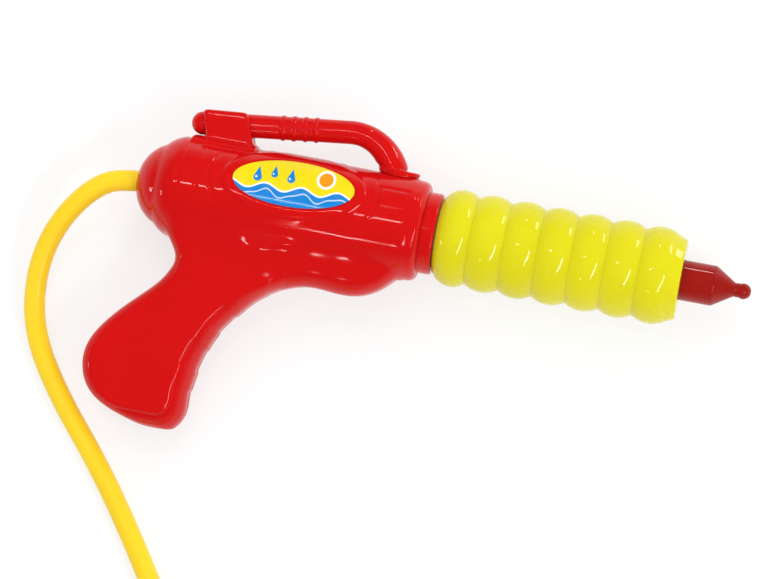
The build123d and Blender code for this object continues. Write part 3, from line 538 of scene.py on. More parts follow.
def splash_print_group():
    """A printed label: water with a white crest, three drops and a round sun on the ground colour."""
    tree, group_in, group_out = new_group(
        "Splash print",
        (
            ("Ground Color", "NodeSocketColor", (0.9, 0.8, 0.1, 1.0)),
            ("Water Color", "NodeSocketColor", (0.01, 0.22, 0.62, 1.0)),
            ("Foam Color", "NodeSocketColor", (0.90, 0.93, 0.95, 1.0)),
            ("Sun Color", "NodeSocketColor", (0.95, 0.30, 0.01, 1.0)),
        ),
        (("Color", "NodeSocketColor"),),
    )
    place = add_node(tree, "ShaderNodeTexCoord", (-2300, 0)).outputs["Object"]
    mapping = add_node(tree, "ShaderNodeMapping", (-2100, 0))
    to_label = Matrix.Rotation(-LABEL_TILT, 4, "Z") @ Matrix.Translation(-LABEL_CENTRE * MM) @ ROW_TO_UNIT
    mapping.inputs["Location"].default_value = to_label.translation / MM
    mapping.inputs["Rotation"].default_value = to_label.to_euler()
    mapping.inputs["Scale"].default_value = (1 / MM, 1 / MM, 1 / MM)
    tree.links.new(place, mapping.inputs["Vector"])
    parts = add_node(tree, "ShaderNodeSeparateXYZ", (-1900, 0))
    tree.links.new(mapping.outputs[0], parts.inputs[0])
    along, up = parts.outputs[0], parts.outputs[1]
    colour = group_in.outputs["Ground Color"]

    sun_x = math_step(tree, (-1700, 900), "SUBTRACT", along, SUN_CENTRE[0])
    sun_y = math_step(tree, (-1700, 800), "SUBTRACT", up, SUN_CENTRE[1])
    sun_far = distance(tree, (-1500, 850), sun_x, sun_y)
    disc = map_range(tree, (-1300, 850), sun_far, *SUN_EDGE, 1.0, 0.0)
    halo = map_range(tree, (-1300, 1000), sun_far, *SUN_HALO_EDGE, 1.0, 0.0)
    colour = mix_colours(tree, (-1100, 900), halo, colour, group_in.outputs["Foam Color"])
    colour = mix_colours(tree, (-900, 900), disc, colour, group_in.outputs["Sun Color"])

    for index, (centre_x, centre_y, radius) in enumerate(PRINT_DROPS):
        row = -300 - 400 * index
        drop_x = math_step(tree, (-1700, row), "SUBTRACT", along, centre_x)
        drop_y = math_step(tree, (-1700, row - 100), "SUBTRACT", up, centre_y)
        rise = math_step(tree, (-1550, row - 100), "DIVIDE", drop_y, 2.6 * radius)
        rise = math_step(tree, (-1400, row - 100), "MAXIMUM", rise, 0.0)
        rise = math_step(tree, (-1400, row - 200), "MINIMUM", rise, 0.98)
        slim = math_step(tree, (-1250, row - 100), "SUBTRACT", 1.0, rise)
        wide = math_step(tree, (-1100, row), "DIVIDE", drop_x, slim)
        low = math_step(tree, (-1250, row - 250), "MINIMUM", drop_y, 0.0)
        far = distance(tree, (-950, row), wide, low)
        inside = map_range(tree, (-800, row), far, radius - 0.15, radius + 0.15, 1.0, 0.0)
        below_tip = map_range(tree, (-800, row - 150), drop_y, 2.4 * radius, 2.5 * radius, 1.0, 0.0)
        mask = math_step(tree, (-600, row), "MULTIPLY", inside, below_tip)
        shine_x = math_step(tree, (-1100, row - 350), "ADD", drop_x, radius * 0.35)
        shine = distance(tree, (-950, row - 350), shine_x, drop_y)
        shine = map_range(tree, (-800, row - 350), shine, radius * 0.2, radius * 0.3, 1.0, 0.0)
        colour = mix_colours(tree, (-400, row), mask, colour, group_in.outputs["Water Color"])
        colour = mix_colours(tree, (-250, row), shine, colour, group_in.outputs["Foam Color"])

    swell = math_step(tree, (-700, 600), "MULTIPLY", along, 2 * math.pi / WAVE_LENGTH)
    swell = math_step(tree, (-550, 600), "SINE", swell)
    crest = math_step(tree, (-400, 600), "MULTIPLY_ADD", swell, WAVE_HEIGHT, WAVE_LEVEL)
    above = math_step(tree, (-250, 600), "SUBTRACT", up, crest)
    foam = map_range(tree, (-100, 700), above, 0.7, 0.9, 1.0, 0.0)
    water = map_range(tree, (-100, 500), above, -0.1, 0.1, 1.0, 0.0)
    ripple = math_step(tree, (-550, 400), "MULTIPLY", along, 2 * math.pi / RIPPLE_LENGTH)
    ripple = math_step(tree, (-400, 400), "SINE", ripple)
    line = math_step(tree, (-250, 400), "MULTIPLY_ADD", ripple, RIPPLE_HEIGHT, above)
    line = math_step(tree, (-100, 350), "ADD", line, RIPPLE_DROP)
    line = math_step(tree, (50, 350), "ABSOLUTE", line)
    line = map_range(tree, (200, 350), line, 0.22, 0.4, 0.6, 0.0)
    colour = mix_colours(tree, (100, 800), foam, colour, group_in.outputs["Foam Color"])
    colour = mix_colours(tree, (300, 700), water, colour, group_in.outputs["Water Color"])
    colour = mix_colours(tree, (500, 600), line, colour, group_in.outputs["Foam Color"])
    tree.links.new(colour, group_out.inputs["Color"])
    return tree


def place_group(tree, name, place, **values):
    """A group node in a material, with values for its inputs, whose spaces are written as underscores."""
    node = add_node(tree, "ShaderNodeGroup", place, node_tree=bpy.data.node_groups[name])
    for key, value in values.items():
        node.inputs[key.replace("_", " ")].default_value = value
    return node


def new_material(name):
    """A new material, its node tree and its Principled shader."""
    material = bpy.data.materials.new(name)
    material.use_nodes = True
    shader = material.node_tree.nodes["Principled BSDF"]
    return material, material.node_tree, shader


def plastic(name, colour, roughness, worn=0.12, drift=0.12, grain=0.15, relief=0.00002, soft=0.0):
    """A moulded plastic with grain, satin patches, rubbed edges and fine handling marks."""
    material, tree, shader = new_material(name)
    colour = (*colour, 1.0)
    pale = tuple(min(1.0, channel * 0.7 + 0.25) for channel in colour[:3]) + (1.0,)
    surface = place_group(
        tree, "Moulded surface", (-900, 200), Color=colour, Drift=drift, Roughness=roughness,
        Satin=0.06, Grain=grain,
    )
    marks = place_group(tree, "Handling marks", (-900, -200), Amount=0.2)
    wear = place_group(tree, "Edge wear", (-600, 200), Worn_Color=pale, Amount=worn)
    tree.links.new(surface.outputs["Color"], wear.inputs["Color"])
    tree.links.new(surface.outputs["Roughness"], wear.inputs["Roughness"])
    rough = math_step(
        tree, (-350, 100), "MULTIPLY_ADD", marks.outputs["Mask"], 0.25, wear.outputs["Roughness"],
    )
    height = math_step(tree, (-350, -200), "ADD", surface.outputs["Height"], marks.outputs["Height"])
    bump = add_node(tree, "ShaderNodeBump", (-170, -200))
    bump.inputs["Distance"].default_value = relief
    bump.inputs["Strength"].default_value = 1.0
    tree.links.new(height, bump.inputs["Height"])
    tree.links.new(wear.outputs["Color"], shader.inputs["Base Color"])
    tree.links.new(rough, shader.inputs["Roughness"])
    tree.links.new(bump.outputs["Normal"], shader.inputs["Normal"])
    shader.inputs["IOR"].default_value = PLASTIC_IOR
    shader.inputs["Specular IOR Level"].default_value = PLASTIC_SPECULAR
    if soft:
        shader.inputs["Subsurface Weight"].default_value = soft
        shader.inputs["Subsurface Radius"].default_value = SOFT_SPREAD
        shader.inputs["Subsurface Scale"].default_value = 1.0
    return material


def print_on(material, ground):
    """Feeds the printed picture into a material's surface in place of its one colour."""
    tree = material.node_tree
    picture = place_group(tree, "Splash print", (-1200, 300), Ground_Color=(*ground, 1.0))
    surface = next(
        node for node in tree.nodes
        if node.type == "GROUP" and node.node_tree.name == "Moulded surface"
    )
    tree.links.new(picture.outputs["Color"], surface.inputs["Color"])


def metal(name, colour, roughness):
    """Bright drawn steel."""
    material, tree, shader = new_material(name)
    surface = place_group(
        tree, "Moulded surface", (-700, 200), Color=(*colour, 1.0), Drift=0.3, Roughness=roughness,
        Satin=0.2, Grain=0.4,
    )
    bump = add_node(tree, "ShaderNodeBump", (-300, -200))
    bump.inputs["Distance"].default_value = 0.00001
    tree.links.new(surface.outputs["Height"], bump.inputs["Height"])
    tree.links.new(surface.outputs["Color"], shader.inputs["Base Color"])
    tree.links.new(surface.outputs["Roughness"], shader.inputs["Roughness"])
    tree.links.new(bump.outputs["Normal"], shader.inputs["Normal"])
    shader.inputs["Metallic"].default_value = 1.0
    return material


def dress(node_name, material):
    """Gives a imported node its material."""
    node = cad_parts[node_name]
    node.data.materials.clear()
    node.data.materials.append(material)


def keep_in_box(piece):
    """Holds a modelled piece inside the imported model's box, so that it lies on the floor and not in it."""
    places = numpy.empty(len(piece.data.vertices) * 3)
    piece.data.vertices.foreach_get("co", places)
    low, high = CAD_BOX
    places = numpy.clip(places.reshape(-1, 3), numpy.array(low), numpy.array(high))
    piece.data.vertices.foreach_set("co", places.ravel())
    piece.data.update()


def finish_piece(piece, material, slot, body, *replaced):
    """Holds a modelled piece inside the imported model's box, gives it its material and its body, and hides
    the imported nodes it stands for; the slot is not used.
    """
    keep_in_box(piece)
    piece.data.materials.clear()
    piece.data.materials.append(material)
    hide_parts(*replaced)
    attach(piece, body)


def material_of(name):
    """A finish made earlier, or an error that names it."""
    if name not in bpy.data.materials:
        raise RuntimeError(f"the finish {name} isn't made yet")
    return bpy.data.materials[name]


def moulded_copy(node_name, name, voxel, soften):
    """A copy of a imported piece, merged, remeshed evenly and softened at all its edges."""
    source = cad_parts[node_name]
    deselect_all()
    piece = bpy.data.objects.new(name, source.data.copy())
    bpy.context.scene.collection.objects.link(piece)
    piece.data.transform(source.matrix_world)
    bpy.context.view_layer.objects.active = piece
    piece.select_set(True)
    bpy.ops.object.mode_set(mode="EDIT")
    bpy.ops.mesh.select_all(action="SELECT")
    bpy.ops.mesh.remove_doubles(threshold=1e-6)
    bpy.ops.object.mode_set(mode="OBJECT")
    bpy.ops.mesh.customdata_custom_splitnormals_clear()
    piece.data.remesh_voxel_size = voxel * MM
    piece.data.use_remesh_preserve_volume = True
    piece.data.use_remesh_preserve_attributes = False
    bpy.ops.object.voxel_remesh()
    modifier = piece.modifiers.new("Soften", "SMOOTH")
    modifier.factor = 0.5
    modifier.iterations = soften
    bpy.ops.object.modifier_apply(modifier="Soften")
    bpy.ops.object.shade_smooth()
    return piece


def unit_places(mesh):
    """A mesh's vertices and normals in the unit's own frame, the places in millimetres."""
    places = numpy.empty(len(mesh.vertices) * 3)
    normals = numpy.empty(len(mesh.vertices) * 3)
    mesh.vertices.foreach_get("co", places)
    mesh.vertex_normals.foreach_get("vector", normals)
    turn = numpy.array(ROW_TO_UNIT.to_3x3())
    places = (places.reshape(-1, 3) @ turn.T + numpy.array(ROW_TO_UNIT.translation)) / MM
    return places, normals.reshape(-1, 3) @ turn.T


def set_unit_places(mesh, places):
    """Writes places in the unit's own frame back to a mesh."""
    turn = numpy.array(UNIT_TO_ROW.to_3x3())
    moved = (places * MM) @ turn.T + numpy.array(UNIT_TO_ROW.translation)
    mesh.vertices.foreach_set("co", moved.ravel())
    mesh.update()


def rise(values, start, width):
    """A share that is 0 up to the start and grows evenly to 1 over the width."""
    return numpy.clip((values - start) / width, 0.0, 1.0)


def fall(values, end, width):
    """A share that is 1 until it shrinks evenly, over the width, to 0 at the end."""
    return numpy.clip((end - values) / width, 0.0, 1.0)


def blend_weights(places):
    """How much each place is softened: most where the grip and the fairing leave the barrel."""
    x, y, z = places.T
    from_barrel = numpy.abs(numpy.hypot(y, z) - BARREL_RADIUS)
    weights = numpy.exp(-((from_barrel / BLEND_REACH) ** 2))
    weights *= fall(y, BLEND_TOP, 4.0)
    weights *= rise(x, BLEND_FROM, 4.0) * fall(x, BLEND_TO, 3.0)
    return weights * rise(numpy.abs(z), BLEND_FROM_SEAM, 3.0)


def grip_weights(places):
    """The sides of the grip, where the finger pads run out softly."""
    x, y, z = places.T
    weights = fall(y, GRIP_TOP, 4.0) * rise(x, GRIP_FROM, 4.0)
    return weights * rise(numpy.abs(z), GRIP_SIDE, 4.0)


def lower_pads(piece):
    """Lets the finger pads stand out less on the flat sides than on the front."""
    places, normals = unit_places(piece.data)
    side = numpy.abs(places[:, 2])
    facing = rise(normals[:, 2] * numpy.sign(places[:, 2]), 0.86, 0.1)
    flats = []
    for level in FINGER_LEVELS:
        near = (numpy.abs(places[:, 1] - level) < FINGER_LEVEL_REACH) * (facing > 0.95)
        flats.append(numpy.median(side[near]))
    flat = numpy.interp(places[:, 1], FINGER_LEVELS, flats)
    on_pad = numpy.abs(side - flat) < FINGER_PAD_LIMIT
    facing *= fall(places[:, 1], FINGER_LEVELS[-1], 6.0) * on_pad
    places[:, 2] -= numpy.sign(places[:, 2]) * (side - flat) * facing * FINGER_PAD_LOWERING
    set_unit_places(piece.data, places)


def bar_line():
    """Points down the front bend of the carry bar to its foot, a small step apart."""
    corner = numpy.array(BAR_CORNER)
    end = numpy.array(BAR_END)
    downward = (end - corner) / numpy.linalg.norm(end - corner)
    steep = math.atan2(downward[1], downward[0])
    reach = BAR_BEND * math.tan((BAR_SLOPE - steep) / 2)
    start = corner - reach * numpy.array((math.cos(BAR_SLOPE), math.sin(BAR_SLOPE)))
    centre = start + BAR_BEND * numpy.array((math.sin(BAR_SLOPE), -math.cos(BAR_SLOPE)))
    angles = numpy.arange(BAR_SLOPE, steep, -BAR_STEP / BAR_BEND)
    bend = centre + BAR_BEND * numpy.stack((-numpy.sin(angles), numpy.cos(angles)), axis=1)
    run = numpy.linalg.norm(end - bend[-1])
    leg = bend[-1] + numpy.arange(BAR_STEP, run, BAR_STEP)[:, None] * downward
    return numpy.concatenate((bend, leg))


def flare_bar(piece):
    """Widens the carry bar evenly towards its foot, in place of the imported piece's short cone."""
    places, _ = unit_places(piece.data)
    line = bar_line()
    near = numpy.nonzero((places[:, 0] > line[0, 0]) * (places[:, 1] > BAR_FOOT_TOP))[0]
    offsets = places[near, None, :2] - line[None]
    nearest = numpy.argmin(numpy.linalg.norm(offsets, axis=2), axis=1)
    middle = numpy.column_stack((line[nearest], numpy.zeros(len(near))))
    from_foot = (len(line) - nearest) * BAR_STEP
    away = places[near] - middle
    radius = numpy.linalg.norm(away, axis=1)
    goal = numpy.interp(from_foot, BAR_FLARE_REACH, BAR_FLARE_RADII)
    share = rise(places[near, 1], BAR_FOOT_TOP, 1.5)
    places[near] = middle + away * (1.0 + share * (goal / radius - 1.0))[:, None]
    set_unit_places(piece.data, places)


def line_distance(places, line):
    """How far each place lies from a line drawn on the unit's side."""
    nearest = numpy.full(len(places), 1e3)
    for start, end in zip(line, line[1:]):
        start = numpy.array(start)
        step = numpy.array(end) - start
        offset = places[:, :2] - start
        share = numpy.clip(offset @ step / (step @ step), 0.0, 1.0)
        nearest = numpy.minimum(nearest, numpy.linalg.norm(offset - share[:, None] * step, axis=1))
    return nearest


def soften_where(piece, weights, iterations):
    """Smooths a piece as strongly as the weights say, as a blend between its forms."""
    group = piece.vertex_groups.new(name="blend")
    for index in numpy.nonzero(weights > LEAST_WEIGHT)[0].tolist():
        group.add([index], float(weights[index]), "REPLACE")
    modifier = piece.modifiers.new("Blend", "SMOOTH")
    modifier.factor = 0.5
    modifier.iterations = iterations
    modifier.vertex_group = "blend"
    bpy.ops.object.modifier_apply(modifier="Blend")
    piece.vertex_groups.remove(piece.vertex_groups["blend"])


def raise_lines(piece):
    """Raises the fine contour lines of the grip."""
    places, normals = unit_places(piece.data)
    facing = rise(numpy.abs(normals[:, 2]), 0.35, 0.3)
    on_side = numpy.abs(places[:, 2]) > GRIP_LINE_SIDE
    outward = facing * on_side * (normals[:, 2] * places[:, 2] > 0)
    height = numpy.zeros(len(places))
    for line in (GRIP_LINE, REAR_LINE):
        height += GRIP_LINE_HEIGHT * numpy.exp(-((line_distance(places, line) / GRIP_LINE_WIDTH) ** 2))
    set_unit_places(piece.data, places + normals * (height * outward)[:, None])


def oval_distance(x, y, reach):
    """How far each place lies outside an oval round the label's middle."""
    turn_cos, turn_sin = math.cos(LABEL_TILT), math.sin(LABEL_TILT)
    along = (x - LABEL_CENTRE.x) * turn_cos + (y - LABEL_CENTRE.y) * turn_sin
    across = (y - LABEL_CENTRE.y) * turn_cos - (x - LABEL_CENTRE.x) * turn_sin
    level = numpy.hypot(along / reach[0], across / reach[1])
    slope = numpy.hypot(along / reach[0] ** 2, across / reach[1] ** 2) / numpy.maximum(level, 1e-6)
    return (level - 1.0) / numpy.maximum(slope, 1e-6)


def groove(away):
    """The depth of a fine pressed line at a distance from its middle."""
    return -GROOVE_DEPTH * numpy.exp(-((away / GROOVE_WIDTH) ** 2))


def turn_barrel(piece, right):
    """Brings the barrel's skin back to its true round, with the pad, the rings, the oval and the panel."""
    places, normals = unit_places(piece.data)
    x, y, z = places.T
    radius = numpy.hypot(y, z)
    radial = (normals[:, 1] * y + normals[:, 2] * z) / numpy.maximum(radius, 1e-6)
    relief = numpy.zeros(len(places))
    for place in RING_PLACES:
        relief += groove(x - place)
    if right:
        pad = numpy.clip(0.5 - oval_distance(x, y, PAD_REACH) / PAD_EDGE, 0.0, 1.0)
        relief += PAD_HEIGHT * pad * pad * (3.0 - 2.0 * pad)
        pocket = numpy.clip(0.5 - oval_distance(x, y, POCKET_REACH) / POCKET_EDGE, 0.0, 1.0)
        relief -= POCKET_DEPTH * pocket
        relief += groove(oval_distance(x, y, WIDE_OVAL_REACH)) * rise(y, -8.0, 2.0)
        side_x = numpy.abs(x - PANEL_CENTRE[0]) - PANEL_REACH[0]
        side_y = numpy.abs(y - PANEL_CENTRE[1]) - PANEL_REACH[1]
        outside = numpy.hypot(numpy.maximum(side_x, 0.0), numpy.maximum(side_y, 0.0))
        relief += groove(outside + numpy.minimum(numpy.maximum(side_x, side_y), 0.0))
    goal = BARREL_RADIUS + relief
    share = (numpy.abs(radius - goal) < ROUND_LIMIT) * (radial > 0.8)
    share = share * rise(x, STRAIGHT_FROM, 1.0) * fall(x, STRAIGHT_TO, 0.8)
    share = share * rise(y, -6.0, 3.0)
    rear, front, side = BRACKET_ZONE
    near_bracket = (x > rear) * (x < front) * (numpy.abs(z) < side) * (y > 0.0)
    near_foot = (x > FOOT_ZONE[0]) * (numpy.abs(z) < FOOT_ZONE[1]) * (y > 0.0)
    share = share * (1.0 - near_bracket) * (1.0 - near_foot)
    stretch = 1.0 + share * (goal / numpy.maximum(radius, 1e-6) - 1.0)
    places[:, 1] *= stretch
    places[:, 2] *= stretch
    set_unit_places(piece.data, places)


def round_bead(piece):
    """Brings the bead at the nozzle's tip to a ball and softens the neck behind it."""
    places, _ = unit_places(piece.data)
    away = places - numpy.array((BEAD_CENTRE, 0.0, 0.0))
    reach = numpy.linalg.norm(away, axis=1)
    on_bead = (away[:, 0] > -BEAD_RADIUS * BEAD_BACK) * (reach > BEAD_RADIUS * BEAD_CORE)
    places[on_bead] += away[on_bead] * (BEAD_RADIUS / reach[on_bead] - 1.0)[:, None]
    set_unit_places(piece.data, places)
    neck = numpy.abs(places[:, 0] - (BEAD_CENTRE - BEAD_RADIUS)) / NECK_REACH
    soften_where(piece, numpy.clip(NECK_WEIGHT - neck, 0.0, 1.0), NECK_SOFTENING)


class SQUIRTER_OT_finishes(Operator):
    """Makes the plastics, rubber, steel and vinyl that the pieces wear"""

    bl_idname = "squirter.finishes"
    bl_label = "Make the finishes"

    def execute(self, context):
        plastics = context.scene.squirter_plastics
        moulded_surface_group()
        edge_wear_group()
        handling_marks_group()
        gloss = plastics.gloss_roughness
        plastic("Red shell plastic", plastics.shell_red, gloss)
        plastic("Red nozzle plastic", plastics.nozzle_red, gloss, worn=0.05)
        plastic("Yellow sleeve plastic", plastics.sleeve_yellow, gloss + 0.02, soft=0.1)
        plastic("Yellow hose vinyl", plastics.hose_yellow, 0.28, worn=0.1, soft=0.3)
        plastic("White plastic", (0.82, 0.82, 0.80), 0.3, worn=0.1)
        plastic("Ball plastic", (0.72, 0.74, 0.74), 0.2, worn=0.1)
        plastic("Seal rubber", (0.02, 0.02, 0.02), 0.5, worn=0.1, grain=0.6)
        splash_print_group()
        label = plastic("Label print", plastics.print_yellow, gloss + 0.04, worn=0.05)
        print_on(label, plastics.print_yellow)
        metal("Bright steel", (0.62, 0.62, 0.60), 0.28)
        return {"FINISHED"}


class SQUIRTER_OT_hose(Operator):
    """Lays the supply hose from the barrel to its coil and on to the connector"""

    bl_idname = "squirter.hose"
    bl_label = "Lay the hose"

    def execute(self, context):
        points = hose_points()
        curve = bpy.data.curves.new("hose_line", "CURVE")
        curve.dimensions = "3D"
        spline = curve.splines.new("NURBS")
        spline.points.add(len(points) - 1)
        for point, place in zip(spline.points, points):
            point.co = (*place, 1.0)
        spline.order_u = 3
        spline.use_endpoint_u = True
        spline.resolution_u = 12
        curve.bevel_depth = HOSE_WIDTH / 2
        curve.bevel_resolution = 8
        curve.use_fill_caps = True
        curve.materials.append(material_of("Yellow hose vinyl"))
        hose = bpy.data.objects.new("hose", curve)
        context.scene.collection.objects.link(hose)
        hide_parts("supply_hose", "hose_coil", "hose_end")
        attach(hose, "housing")
        return {"FINISHED"}


def hose_points():
    """The hose's control points: the route to the coil, the coil's turn, and the route to the connector."""
    start = math.radians(COIL_START_ANGLE)
    end = math.radians(COIL_START_ANGLE + COIL_SWEEP)
    heading_in = Vector((-math.sin(start), math.cos(start)))
    heading_out = Vector((-math.sin(end), math.cos(end)))
    centre = Vector(COIL_CENTRE)
    entry = centre + COIL_RADIUS * Vector((math.cos(start), math.sin(start)))
    leave = centre + COIL_RADIUS * Vector((math.cos(end), math.sin(end)))
    points = list(HOSE_ROUTE)
    for back in (COIL_STUB + HOSE_APPROACH, COIL_STUB):
        points.append((*(entry - heading_in * back), HOSE_LOW))
    steps = math.ceil(COIL_STEPS_PER_TURN * COIL_SWEEP / 360.0)
    for step in range(steps + 1):
        swept = COIL_SWEEP * step / steps
        angle = start + math.radians(swept)
        share = min(1.0, max(0.0, (swept - CLIMB_START) / CLIMB_SWEEP))
        height = HOSE_LOW + (HOSE_HIGH - HOSE_LOW) * share
        along = centre.x + COIL_RADIUS * math.cos(angle)
        across = centre.y + COIL_RADIUS * math.sin(angle)
        points.append((along, across, height))
    for ahead in (COIL_STUB, COIL_STUB + HOSE_DEPARTURE):
        points.append((*(leave + heading_out * ahead), HOSE_HIGH))
    points.extend(HOSE_END_ROUTE)
    return [on_floor(*point) for point in points]


class SQUIRTER_OT_housing(Operator):
    """Dresses the housing's halves, carry bar, guide, screws and label, and the hose's connector"""

    bl_idname = "squirter.housing"
    bl_label = "Dress the housing"

    def execute(self, context):
        red = material_of("Red shell plastic")
        for name in ("front_guide", "tank_connector"):
            dress(name, red)
        for name in ("shell_right", "shell_left"):
            skin = moulded_copy(name, f"{name}_skin", SKIN_VOXEL, SKIN_SOFTENING)
            places, _ = unit_places(skin.data)
            soften_where(skin, blend_weights(places), BLEND_SOFTENING)
            places, _ = unit_places(skin.data)
            soften_where(skin, grip_weights(places), GRIP_SOFTENING)
            lower_pads(skin)
            turn_barrel(skin, name == "shell_right")
            raise_lines(skin)
            finish_piece(skin, red, "red_shell", "housing", name)
        bar = moulded_copy("carry_bar", "carry_bar_skin", BAR_VOXEL, BAR_SOFTENING)
        flare_bar(bar)
        places, _ = unit_places(bar.data)
        soften_where(bar, rise(places[:, 0], BAR_FRONT_FROM, 4.0), BAR_FOOT_SOFTENING)
        finish_piece(bar, red, "red_bar", "housing", "carry_bar")
        dress("shell_screws", material_of("Bright steel"))
        dress("label_right", material_of("Label print"))
        return {"FINISHED"}


class SQUIRTER_OT_pump(Operator):
    """Dresses the sleeve, the nozzle and the pump's inner pieces"""

    bl_idname = "squirter.pump"
    bl_label = "Dress the pump"

    def execute(self, context):
        finishes = {
            "Yellow sleeve plastic": ("pump_sleeve",),
            "White plastic": (
                "pump_cylinder", "cylinder_end_cap", "sleeve_lock_ring", "outlet_valve_seat",
                "piston_rod", "piston_head", "inlet_valve_body",
            ),
            "Ball plastic": ("outlet_valve_ball", "inlet_valve_ball"),
            "Seal rubber": ("nozzle_seal", "piston_seal", "connector_seal"),
            "Bright steel": ("outlet_valve_spring", "hose_clip"),
        }
        for finish, names in finishes.items():
            for name in names:
                dress(name, material_of(finish))
        nozzle = moulded_copy("nozzle", "nozzle_skin", NOZZLE_VOXEL, NOZZLE_SOFTENING)
        round_bead(nozzle)
        finish_piece(nozzle, material_of("Red nozzle plastic"), "nozzle_red", "pump", "nozzle")
        return {"FINISHED"}


def add_area_light(name, place, target, along, size, power):
    """A rectangular light that faces the target, with its longer side along a direction."""
    data = bpy.data.lights.new(name, "AREA")
    data.shape = "RECTANGLE"
    data.size, data.size_y = size
    data.energy = power
    light = bpy.data.objects.new(name, data)
    bpy.context.scene.collection.objects.link(light)
    back = (place - target).normalized()
    side = (along - back * along.dot(back)).normalized()
    turn = Matrix((side, back.cross(side), back)).transposed().to_4x4()
    light.matrix_world = Matrix.Translation(place) @ turn
    return light


def mirrored_place(eye, point, normal, far):
    """Where a light stands that the camera sees mirrored at a point whose face has this normal."""
    view = (eye - point).normalized()
    return point + (2 * view.dot(normal) * normal - view) * far


def lay_floor(stage):
    """A pale floor that the camera and the gloss see nearly white, and that keeps the shadow."""
    deselect_all()
    bpy.ops.mesh.primitive_plane_add(size=4.0, location=(0, 0, 0))
    floor = bpy.context.active_object
    floor.name = "floor"
    material, tree, shader = new_material("Pale floor")
    shader.inputs["Base Color"].default_value = (*stage.floor_colour, 1.0)
    shader.inputs["Roughness"].default_value = 0.9
    shader.inputs["Specular IOR Level"].default_value = 0.0
    rays = add_node(tree, "ShaderNodeLightPath", (-500, 400)).outputs
    seen = math_step(tree, (-250, 400), "MAXIMUM", rays["Is Camera Ray"], rays["Is Glossy Ray"])
    seen = math_step(tree, (-100, 400), "MAXIMUM", seen, rays["Is Transmission Ray"])
    seen = math_step(tree, (50, 400), "MULTIPLY", seen, FLOOR_WHITENESS)
    white = add_node(tree, "ShaderNodeEmission", (0, -300))
    both = add_node(tree, "ShaderNodeMixShader", (300, 300))
    tree.links.new(seen, both.inputs[0])
    tree.links.new(shader.outputs[0], both.inputs[1])
    tree.links.new(white.outputs[0], both.inputs[2])
    tree.links.new(both.outputs[0], tree.nodes["Material Output"].inputs["Surface"])
    floor.data.materials.append(material)


def light_room(scene, stage):
    """Even light from all round, which glossy faces mirror darker the higher they look."""
    world = scene.world or bpy.data.worlds.new("Studio")
    scene.world = world
    world.use_nodes = True
    tree = world.node_tree
    background = tree.nodes["Background"]
    background.inputs["Color"].default_value = (1, 1, 1, 1)
    rays = add_node(tree, "ShaderNodeLightPath", (-600, 0))
    direction = add_node(tree, "ShaderNodeTexCoord", (-1100, -200))
    parts = add_node(tree, "ShaderNodeSeparateXYZ", (-900, -200))
    tree.links.new(direction.outputs["Generated"], parts.inputs[0])
    mirrored = map_range(
        tree, (-700, -200), parts.outputs["Z"], 0.0, MIRROR_FADE, stage.world_level, stage.mirrored_level,
    )
    level = add_node(tree, "ShaderNodeMix", (-300, 0), data_type="FLOAT")
    tree.links.new(rays.outputs["Is Glossy Ray"], level.inputs[0])
    level.inputs[2].default_value = stage.world_level
    tree.links.new(mirrored, level.inputs[3])
    tree.links.new(level.outputs[0], background.inputs["Strength"])


def place_camera(scene, stage):
    """A camera over the unit's right side, leaning and rolled as the stage says, and where it stands."""
    target = on_unit(*CAMERA_TARGET)
    along, across, out = unit_axes()
    view = along * math.sin(stage.camera_lean) + out * math.cos(stage.camera_lean)
    right = along * math.cos(stage.camera_roll) + across * math.sin(stage.camera_roll)
    right = (right - view * right.dot(view)).normalized()
    up = view.cross(right)
    data = bpy.data.cameras.new("camera")
    data.sensor_width = 36.0
    data.lens = data.sensor_width * stage.camera_distance / stage.frame_width
    data.clip_end = 20.0
    camera = bpy.data.objects.new("camera", data)
    scene.collection.objects.link(camera)
    turn = Matrix((right, up, view)).transposed().to_4x4()
    eye = target + view * stage.camera_distance
    camera.matrix_world = Matrix.Translation(eye) @ turn
    scene.camera = camera
    return eye


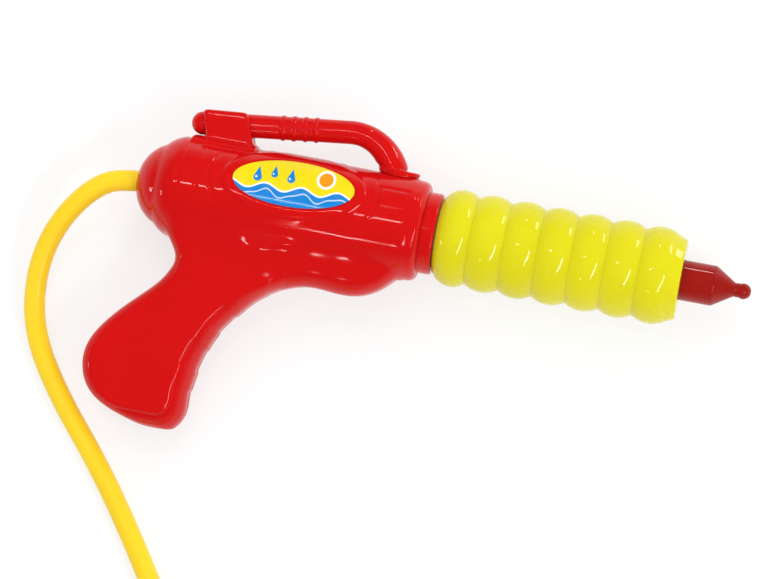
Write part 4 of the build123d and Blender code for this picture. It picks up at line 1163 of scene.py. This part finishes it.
def light_unit(stage, eye):
    """The large soft key light, and the narrow lights where the camera sees them mirrored."""
    along, across, out = unit_axes()
    middle = on_unit(*LIT_MIDDLE)
    key_place = middle + along * KEY_PLACE[0] + across * KEY_PLACE[1] + out * KEY_PLACE[2]
    key = add_area_light("key_light", key_place, middle, along, KEY_SIZE, stage.key_power)
    key.visible_glossy = False
    for name, shown_at, normal, edge, far, size, level in STRIPS:
        point = on_unit(*shown_at)
        place = mirrored_place(eye, point, turned(normal).normalized(), far)
        power = math.pi * size[0] * size[1] * level * stage.strip_level
        add_area_light(name, place, point, turned(edge), size, power)


class SQUIRTER_OT_stage(Operator):
    """Sets up the pale floor, the soft lights and the camera over the unit"""

    bl_idname = "squirter.stage"
    bl_label = "Set up the stage"

    def execute(self, context):
        stage = context.scene.squirter_stage
        lay_floor(stage)
        light_room(context.scene, stage)
        eye = place_camera(context.scene, stage)
        light_unit(stage, eye)
        context.scene.view_settings.view_transform = "Standard"
        return {"FINISHED"}


class SQUIRTER_PT_panel(Panel):
    """Lists the sizes, the colours and the steps"""

    bl_idname = "SQUIRTER_PT_panel"
    bl_label = "Water squirter"
    bl_space_type = "VIEW_3D"
    bl_region_type = "UI"
    bl_category = "Squirter"

    def draw(self, context):
        layout = self.layout
        for group in (context.scene.squirter_stage, context.scene.squirter_plastics):
            column = layout.column()
            for name in group.bl_rna.properties.keys():
                if name not in ("rna_type", "name"):
                    column.prop(group, name)
        for operator in OPERATORS:
            layout.operator(operator.bl_idname)


OPERATORS = (
    SQUIRTER_OT_stage,
    SQUIRTER_OT_finishes,
    SQUIRTER_OT_hose,
    SQUIRTER_OT_housing,
    SQUIRTER_OT_pump,
)
CLASSES = (SQUIRTER_PG_stage, SQUIRTER_PG_plastics, *OPERATORS, SQUIRTER_PT_panel)


def register():
    for item in CLASSES:
        bpy.utils.register_class(item)
    bpy.types.Scene.squirter_stage = PointerProperty(type=SQUIRTER_PG_stage)
    bpy.types.Scene.squirter_plastics = PointerProperty(type=SQUIRTER_PG_plastics)


def unregister():
    del bpy.types.Scene.squirter_plastics
    del bpy.types.Scene.squirter_stage
    for item in reversed(CLASSES):
        bpy.utils.unregister_class(item)


def main():
    register()
    bpy.ops.squirter.stage()
    bpy.ops.squirter.finishes()
    bpy.ops.squirter.hose()
    bpy.ops.squirter.housing()
    bpy.ops.squirter.pump()


if __name__ == "__main__":
    main()
